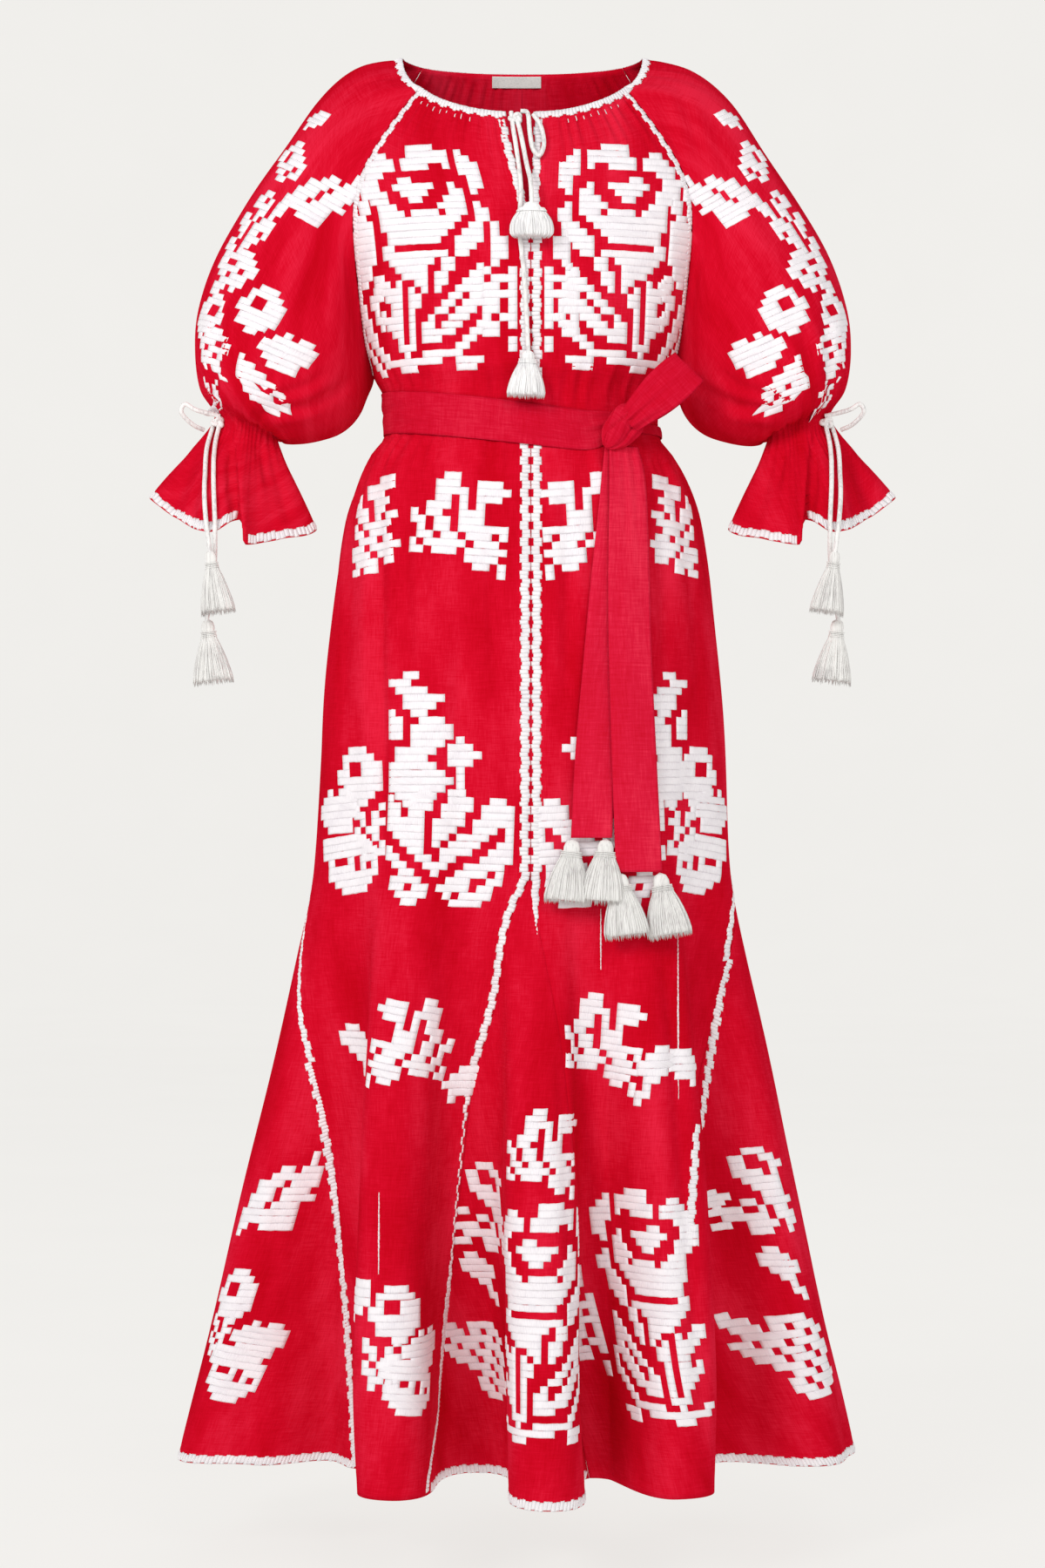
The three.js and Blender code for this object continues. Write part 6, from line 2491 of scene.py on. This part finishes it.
# ---- cords and tassels ---------------------------------------------------------------------------
def rounded_path(points: Array, step: float = 2.4) -> Array:
    """A smooth path through points, sampled about every step.

    Args:
        points: what the path runs through.
        step: the distance between samples.

    Returns:
        The path's points.
    """
    padded = np.concatenate([2 * points[:1] - points[1:2], points, 2 * points[-1:] - points[-2:-1]])
    found = []
    for i in range(1, len(padded) - 2):
        p0, p1, p2, p3 = padded[i - 1 : i + 3]
        count = max(2, int(np.linalg.norm(p2 - p1) / step))
        t = np.linspace(0, 1, count, endpoint=False)[:, None]
        found.append(0.5 * (2 * p1 + (p2 - p0) * t + (2 * p0 - 5 * p1 + 4 * p2 - p3) * t**2
                            + (3 * p1 - p0 - 3 * p2 + p3) * t**3))
    return np.concatenate(found + [points[-1:]])


@dataclass(frozen=True)
class TasselPlan:
    """A tassel's size and how it hangs."""

    name: str
    length: float
    width: float
    lean: float = 0.0
    flat: float = 0.5
    forward: float = 0.0
    bell: float = 0.0


@dataclass
class Tassels:
    """Tassels of loose thread: a core under a skirt of strands, with a bound neck."""

    profile: Table = field(default_factory=lambda: Table("down wide", [
        (0, 0.1), (0.03, 0.24), (0.14, 0.36), (0.24, 0.3), (0.4, 0.5), (0.7, 0.8), (1, 1)], key="down"))
    domed: Table = field(default_factory=lambda: Table("down wide", [
        (0, 0.1), (0.04, 0.26), (0.14, 0.44), (0.3, 0.66), (0.5, 0.9), (0.72, 1), (0.9, 0.96), (1, 0.8)], key="down"))
    strands: int = 104
    rings: int = 7

    def place(self, plan: TasselPlan, top: Array, spots: Array) -> Array:
        """Points of a plain upright tassel set where it hangs.

        Args:
            plan: how the tassel hangs.
            top: where it hangs from.
            spots: the points, below their top.

        Returns:
            The points in place, in millimetres.
        """
        forward, lean = math.radians(-plan.forward), math.radians(-plan.lean)
        spots = spots * np.array([1, plan.flat, 1])
        y = spots[:, 1] * math.cos(forward) - spots[:, 2] * math.sin(forward)
        z = spots[:, 1] * math.sin(forward) + spots[:, 2] * math.cos(forward)
        x = spots[:, 0] * math.cos(lean) + z * math.sin(lean)
        z = -spots[:, 0] * math.sin(lean) + z * math.cos(lean)
        return top + np.stack([x, y, z], axis=-1)

    def make(self, plan: TasselPlan, top: Array, finish: bpy.types.Material, node: str) -> bpy.types.Object:
        """Builds one tassel.

        Args:
            plan: its size.
            top: where it hangs from, in millimetres.
            finish: its thread.
            node: the solid it stands for.

        Returns:
            The piece.
        """
        source = np.random.default_rng(hash_of(plan.name))
        shape = bmesh.new()
        spots: list[Array] = []
        core = bmesh.ops.create_grid(shape, x_segments=28, y_segments=22, size=1.0)
        for vert in core["verts"]:
            turn, share = (vert.co.x + 1) * math.pi, (1 - vert.co.y) / 2
            closed = share < 0.001 or share > 0.999
            radius = 0.0 if closed else self.radius(share, plan) * 0.88
            spots.append(self.spot(radius, turn, -(share if share < 0.999 else 0.93) * plan.length * 0.96))
        for strand in range(self.strands):
            made = bmesh.ops.create_grid(shape, x_segments=4, y_segments=self.rings, size=1.0)
            turn = TURN * (strand + source.uniform(-0.4, 0.4)) / self.strands
            inner = source.uniform(0.86, 1.0) if strand % 3 else source.uniform(0.55, 0.85)
            long = source.uniform(0.95, 1.0)
            curl, swing = source.uniform(-0.05, 0.05), source.uniform(-0.09, 0.09)
            thick = 0.5 * source.uniform(1.0, 1.5)
            for vert in made["verts"]:
                share, spin = (1 - vert.co.y) / 2, (vert.co.x + 1) * math.pi
                down = 0.2 + (long - 0.2) * share
                radius = self.radius(down, plan) * inner
                way = turn + swing * share + curl * math.sin(3 * share)
                seat = self.spot(radius, way, -down * plan.length)
                fat = 0.0 if share in (0.0, 1.0) or abs(vert.co.y) > 0.999 else thick * (1 + 0.5 * share)
                outward = np.array([math.cos(way), math.sin(way), 0.25])
                aside = np.array([-math.sin(way), math.cos(way), 0])
                spots.append(seat + fat * (outward * math.cos(spin) + aside * math.sin(spin)))
        for wound in range(4):
            made = bmesh.ops.create_grid(shape, x_segments=20, y_segments=6, size=1.0)
            down = 0.2 + 0.022 * wound
            for vert in made["verts"]:
                turn, spin = (vert.co.x + 1) * math.pi, (vert.co.y + 1) * math.pi
                radius = self.radius(down, plan) * 1.04 + 0.5 + 0.6 * math.cos(spin)
                spots.append(self.spot(radius, turn, -down * plan.length + 0.6 * math.sin(spin)))
        put(shape, self.place(plan, top, np.array(spots)) * MM)
        bmesh.ops.remove_doubles(shape, verts=shape.verts, dist=1e-6)
        bmesh.ops.recalc_face_normals(shape, faces=shape.faces)
        return finished(mesh_object(plan.name + "_threads", shape), finish, "tassel_thread", node)

    @staticmethod
    def spot(radius: float, turn: float, height: float) -> Array:
        """A place round the tassel's middle line."""
        return np.array([radius * math.cos(turn), radius * math.sin(turn), height])

    def radius(self, down: float, plan: TasselPlan) -> float:
        """The tassel's radius, in millimetres: flared, or domed as a bell."""
        flared, domed = (float(shape.at(np.array(down))["wide"]) for shape in (self.profile, self.domed))
        return (flared + (domed - flared) * plan.bell) * plan.width / 2


@dataclass
class Cords:
    """The neck's drawstring and the cuffs' ties, with their bows and tassels."""

    sleeves: SleeveCloth
    diameter: float = 4.5
    into: float = 5
    neck: dict[str, Table] = field(default_factory=lambda: {
        "neck_cord_short": Table("x z off", [
            (-6.2, -76, 4.4), (-1, -100, 4.4), (4, -130, 9), (7.5, -150, 17), (8.5, -169, 18)]),
        "neck_cord_long": Table("x z off", [
            (-11, -73, 4.2), (-9, -90, 2.9), (-6, -110, 2.6), (-1.5, -150, 2.6), (-3, -190, 2.6),
            (2, -240, 2.6), (5.5, -304, 5)]),
        "neck_bow": Table("x z off", [
            (-2, -72, 4.1), (5, -74, 3.6), (7, -95, 5), (10, -112, 4.6), (16, -119, 4.6),
            (20.5, -108, 4.6), (18, -90, 4.8), (10.5, -76, 5)]),
    })
    cuff: dict[str, Table] = field(default_factory=lambda: {
        "cuff_cord_short": Table("x z off", [
            (305, -366, 1.2), (311, -392, 4), (311, -422, 4), (309.5, -450, 5), (304, -497, 5)]),
        "cuff_cord_long": Table("x z off", [
            (299, -367, 1.7), (303, -392, 4), (302, -425, 4), (299, -466, 5), (298.5, -482, 4),
            (301, -515, -11), (308, -563, -9)]),
        "cuff_bow": Table("x z off", [
            (299, -361.5, 0.7), (322, -356, 8), (333, -350, 10), (337, -358, 12), (327, -369, 9),
            (316, -374, 5)]),
    })
    tassels: tuple[tuple[str, TasselPlan], ...] = (
        ("neck_cord_short", TasselPlan("neck_tassel_short", 37, 43, 0, 0.42, 2, bell=1.0)),
        ("neck_cord_long", TasselPlan("neck_tassel_long", 48, 40, -3, bell=0.3)),
        ("cuff_cord_short", TasselPlan("cuff_tassel_short", 65, 35, -8)),
        ("cuff_cord_long", TasselPlan("cuff_tassel_long", 66, 42, -6)),
    )

    @staticmethod
    def closer(table: Table) -> dict[str, Array]:
        """A route's stations and three more between each pair."""
        last = len(table.keys) - 1
        return table.at(np.arange(4 * last + 1) / 4)

    def cuff_path(self, table: Table, side: int) -> Array:
        """A route on the front of a cuff, falling straight from its frill's hem.

        Args:
            table: its stations.
            side: 1 on the wearer's left, -1 on the right.

        Returns:
            The route's points.
        """
        row = self.closer(table)
        depth, points = 8.0, []
        for x, z, off in zip(row["x"], row["z"], row["off"]):
            depth = max([self.sleeves.depth(x + aside, z) for aside in (-2.5, 0, 2.5)] + [depth - 0.8])
            points.append((side * x, -depth - off, z))
        return np.array(points)

    def route(self, name: str, table: Table, side: int) -> Array:
        """A cord's whole route, in millimetres.

        Args:
            name: the cord.
            table: its stations.
            side: 1 on the wearer's left, -1 on the right.

        Returns:
            The route's points.
        """
        if name.startswith("neck"):
            row = self.closer(table)
            points = on_front(row["x"], row["z"], row["off"])
        else:
            points = self.cuff_path(table, side)
        return rounded_path(points)

    def cord(self, name: str, route: Array) -> bpy.types.Object:
        """A round cord along a route; all but a bow run on a little way into their tassels.

        Args:
            name: the cord.
            route: its route.

        Returns:
            The piece.
        """
        if "bow" not in name:
            way = unit(route[-1] - route[-4])
            route = np.concatenate([route, route[-1:] + way * self.into])
        return finished(self.round_line(name + "_thread", route, 0.5), finish_of(Finish.CORD), "white_thread", name)

    def round_line(self, name: str, route: Array, share: float, ring: bool = False) -> bpy.types.Object:
        """A round line along a route.

        Args:
            name: the piece's name.
            route: its middle, in millimetres.
            share: its radius, as a share of the cord's diameter.
            ring: whether its end meets its start; if not, both ends are capped.

        Returns:
            The piece.
        """
        curve = bpy.data.curves.new(name, "CURVE")
        curve.dimensions = "3D"
        curve.bevel_depth = self.diameter * share * MM
        curve.bevel_resolution = 3
        curve.use_fill_caps = not ring
        line = curve.splines.new("POLY")
        line.points.add(len(route) - 1)
        line.use_cyclic_u = ring
        for point, place in zip(line.points, route):
            point.co = (*(place * MM), 1)
        return placed(name, curve)

    def tied(self, name: str, middle: Array, wide: float = 2.3) -> bpy.types.Object:
        """A small overhand knot where two ties cross.

        Args:
            name: the knot.
            middle: its middle.
            wide: its size.

        Returns:
            The piece.
        """
        t = np.linspace(0, TURN, 72, endpoint=False)
        x, z = np.cos(t) - 2 * np.cos(2 * t), np.sin(t) + 2 * np.sin(2 * t)
        points = middle + wide * np.stack([x * 1.15, -0.85 * np.sin(3 * t), z * 0.85], axis=1)
        return finished(self.round_line(name, points, 0.47, ring=True), finish_of(Finish.CORD), "white_thread")

    def make(self) -> None:
        """Builds every cord with what hangs on it."""
        for word, side in (("", 1), ("_left", 1), ("_right", -1)):
            tables = self.cuff if word else self.neck
            routes = {name: self.route(name, table, side) for name, table in tables.items()}
            pieces = {name: self.cord(name + word, route) for name, route in routes.items()}
            for name, plan in self.tassels:
                if name not in routes:
                    continue
                hung = replace(plan, name=plan.name + word, lean=side * plan.lean)
                top = routes[name][-1] - np.array([0, 0, 0.6])
                # The neck's tassels are white thread; the cuffs' take the greyer copy, which is partly painted shade.
                finish = finish_of(Finish.NECK_TASSEL if name.startswith("neck") else Finish.TASSEL)
                tassel = Tassels().make(hung, top, finish, plan.name + word)
                if "short" in name:
                    ties = [route[0] for route in routes.values()]
                    middle = sum(ties) / len(ties) + np.array([0, -2.5, -3.0 if word else -6.0])
                    self.tied("tie_knot" + (word or "_neck"), middle, 1.7)


@dataclass
class SashTassels:
    """The four tassels on the sash's hanging ends."""

    sash: Sash
    plans: tuple[tuple[str, str, float, float], ...] = (
        ("sash_tassel_under_right", "under", -16.5, -6),
        ("sash_tassel_under_left", "under", 14, -4),
        ("sash_tassel_over_right", "over", -17, 7),
        ("sash_tassel_over_left", "over", 19, 9),
    )

    def make(self) -> dict[str, list[bpy.types.Object]]:
        """Builds them; returns them by their end.

        Returns:
            The tassels by the sash's end.
        """
        made: dict[str, list[bpy.types.Object]] = {"under": [], "over": []}
        for name, end, along, lean in self.plans:
            hem = self.sash.ends[end].at(np.array(5.0))
            top = off_skirt(hem["x"] + along, hem["z"], hem["off"] + 0.7)
            top = top - np.array([0, 0, 0.6])
            # The sash's tassels take the greyer copy of the white thread, which is partly painted shade.
            plan = TasselPlan(name, 66, 47, lean, 0.4, 6, bell=0.3)
            made[end].append(Tassels().make(plan, top, finish_of(Finish.TASSEL), name))
        return made


# ---- neckline ------------------------------------------------------------------------------------
@dataclass
class Neckline:
    """The trim round the neckline and the blank label inside the back."""

    body: BodyCloth
    sleeves: SleeveCloth
    width: float = 8.2
    pitch: float = 3.5
    columns: int = 480
    label_x: float = -6
    label_size: tuple[float, float, float] = (50, 11, 0.8)

    def band(self) -> Patch:
        """The cloth just under the neckline, from the slit round to the slit, as one patch.

        Returns:
            The patch.
        """
        first, last = self.sleeves.neck_columns
        grids = self.body.grids
        left, right = (self.sleeves.grids[f"sleeve_{word}"] for word in ("left", "right"))
        end = right.shape[1] - 1
        parts = [grids["front_left"], left[:, first : last + 1], grids["back_left"], grids["back_right"],
                 right[:, end - last : end - first + 1], grids["front_right"]]
        below = np.array([0.0, 4, 8, 12, 16])
        near = np.concatenate([part[:10] for part in parts], axis=1)
        down = running(near)
        band = np.stack([read_along(below, down[:, c], near[:, c]) for c in range(near.shape[1])], axis=1)
        lengths = running(band[0])
        wanted = np.linspace(0, lengths[-1], self.columns)
        rows = np.stack([read_along(wanted, lengths, row) for row in band])
        patch = Patch(rows, np.zeros(len(rows)), -below, aligned=True)
        patch.step[:] = lengths[-1] / (self.columns - 1)
        return patch

    def trim(self) -> bpy.types.Object:
        """The scalloped trim: its upper edge straight, its lower edge stepped.

        Returns:
            The piece.
        """
        patch = self.band()
        satin = Satin(patch, seed=21, rise=0.85, rim=0.4)
        length = float(patch.step[0] * (self.columns - 1))
        count = int(length / self.pitch)
        for i in range(count):
            at = (i + 0.5) * length / count
            low = (-1.6, 0.0, 1.3, 0.2)[i % 4]
            tall = self.width - 0.8 + low
            satin.block(at, 0.4 - tall / 2, length / count + satin.overlap, tall)
        # Small gathering stitches hold the pleats below the trim at each side of the slit.
        for i in range(8):
            for at in (32 + 7.6 * i + math.sin(3.1 * i), length - 34 - 7.6 * i - math.sin(2.3 * i)):
                satin.block(at, -13.4 + math.sin(2.3 * i), 0.9, 4.6 + 1.6 * math.sin(1.7 * i))
        piece = satin.make("neck_trim_thread", finish_of(Finish.TRIM))
        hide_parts("neck_trim")
        return piece

    def label(self) -> None:
        """A blank woven label, sewn along its upper edge."""
        wide, tall, thick = self.label_size
        x = self.label_x + wide * np.linspace(-0.5, 0.5, 27)
        course = 0.04 + np.linspace(0, 1, 9)[:, None] * tall / 46
        angle = 180 - FORM.front_angle(course, x)
        points = FORM.point(course, angle) - FORM.normal(course, angle) * 1.9
        uv = paired(x, -46 * course)
        piece = sheet_on("label_tape", points, uv, thick=thick)
        edge = piece.modifiers.new("soft_edge", "BEVEL")
        edge.width, edge.segments, edge.limit_method = 0.25 * MM, 2, "ANGLE"
        finished(piece, finish_of(Finish.TAPE), "label_tape", "label")


def main() -> None:
    """Builds the dress, piece by piece."""
    logging.basicConfig(level=logging.INFO, format="%(name)s: %(message)s")
    studio = Studio()
    studio.camera()
    studio.build()
    sleeves = SleeveCloth()
    pieces = sleeves.make(finish_of(Finish.LINEN))
    Cords(sleeves).make()
    body = BodyCloth()
    pieces.update(body.make(finish_of(Finish.LINEN)))
    embroidery = Embroidery(body, sleeves)
    embroidery.sew()
    embroidery.trims()
    neckline = Neckline(body, sleeves)
    embroidery.sewn["front_right"].append(neckline.trim())
    neckline.label()
    sash = Sash()
    bands = sash.make()
    tassels = SashTassels(sash).make()


if __name__ == "__main__":
    main()
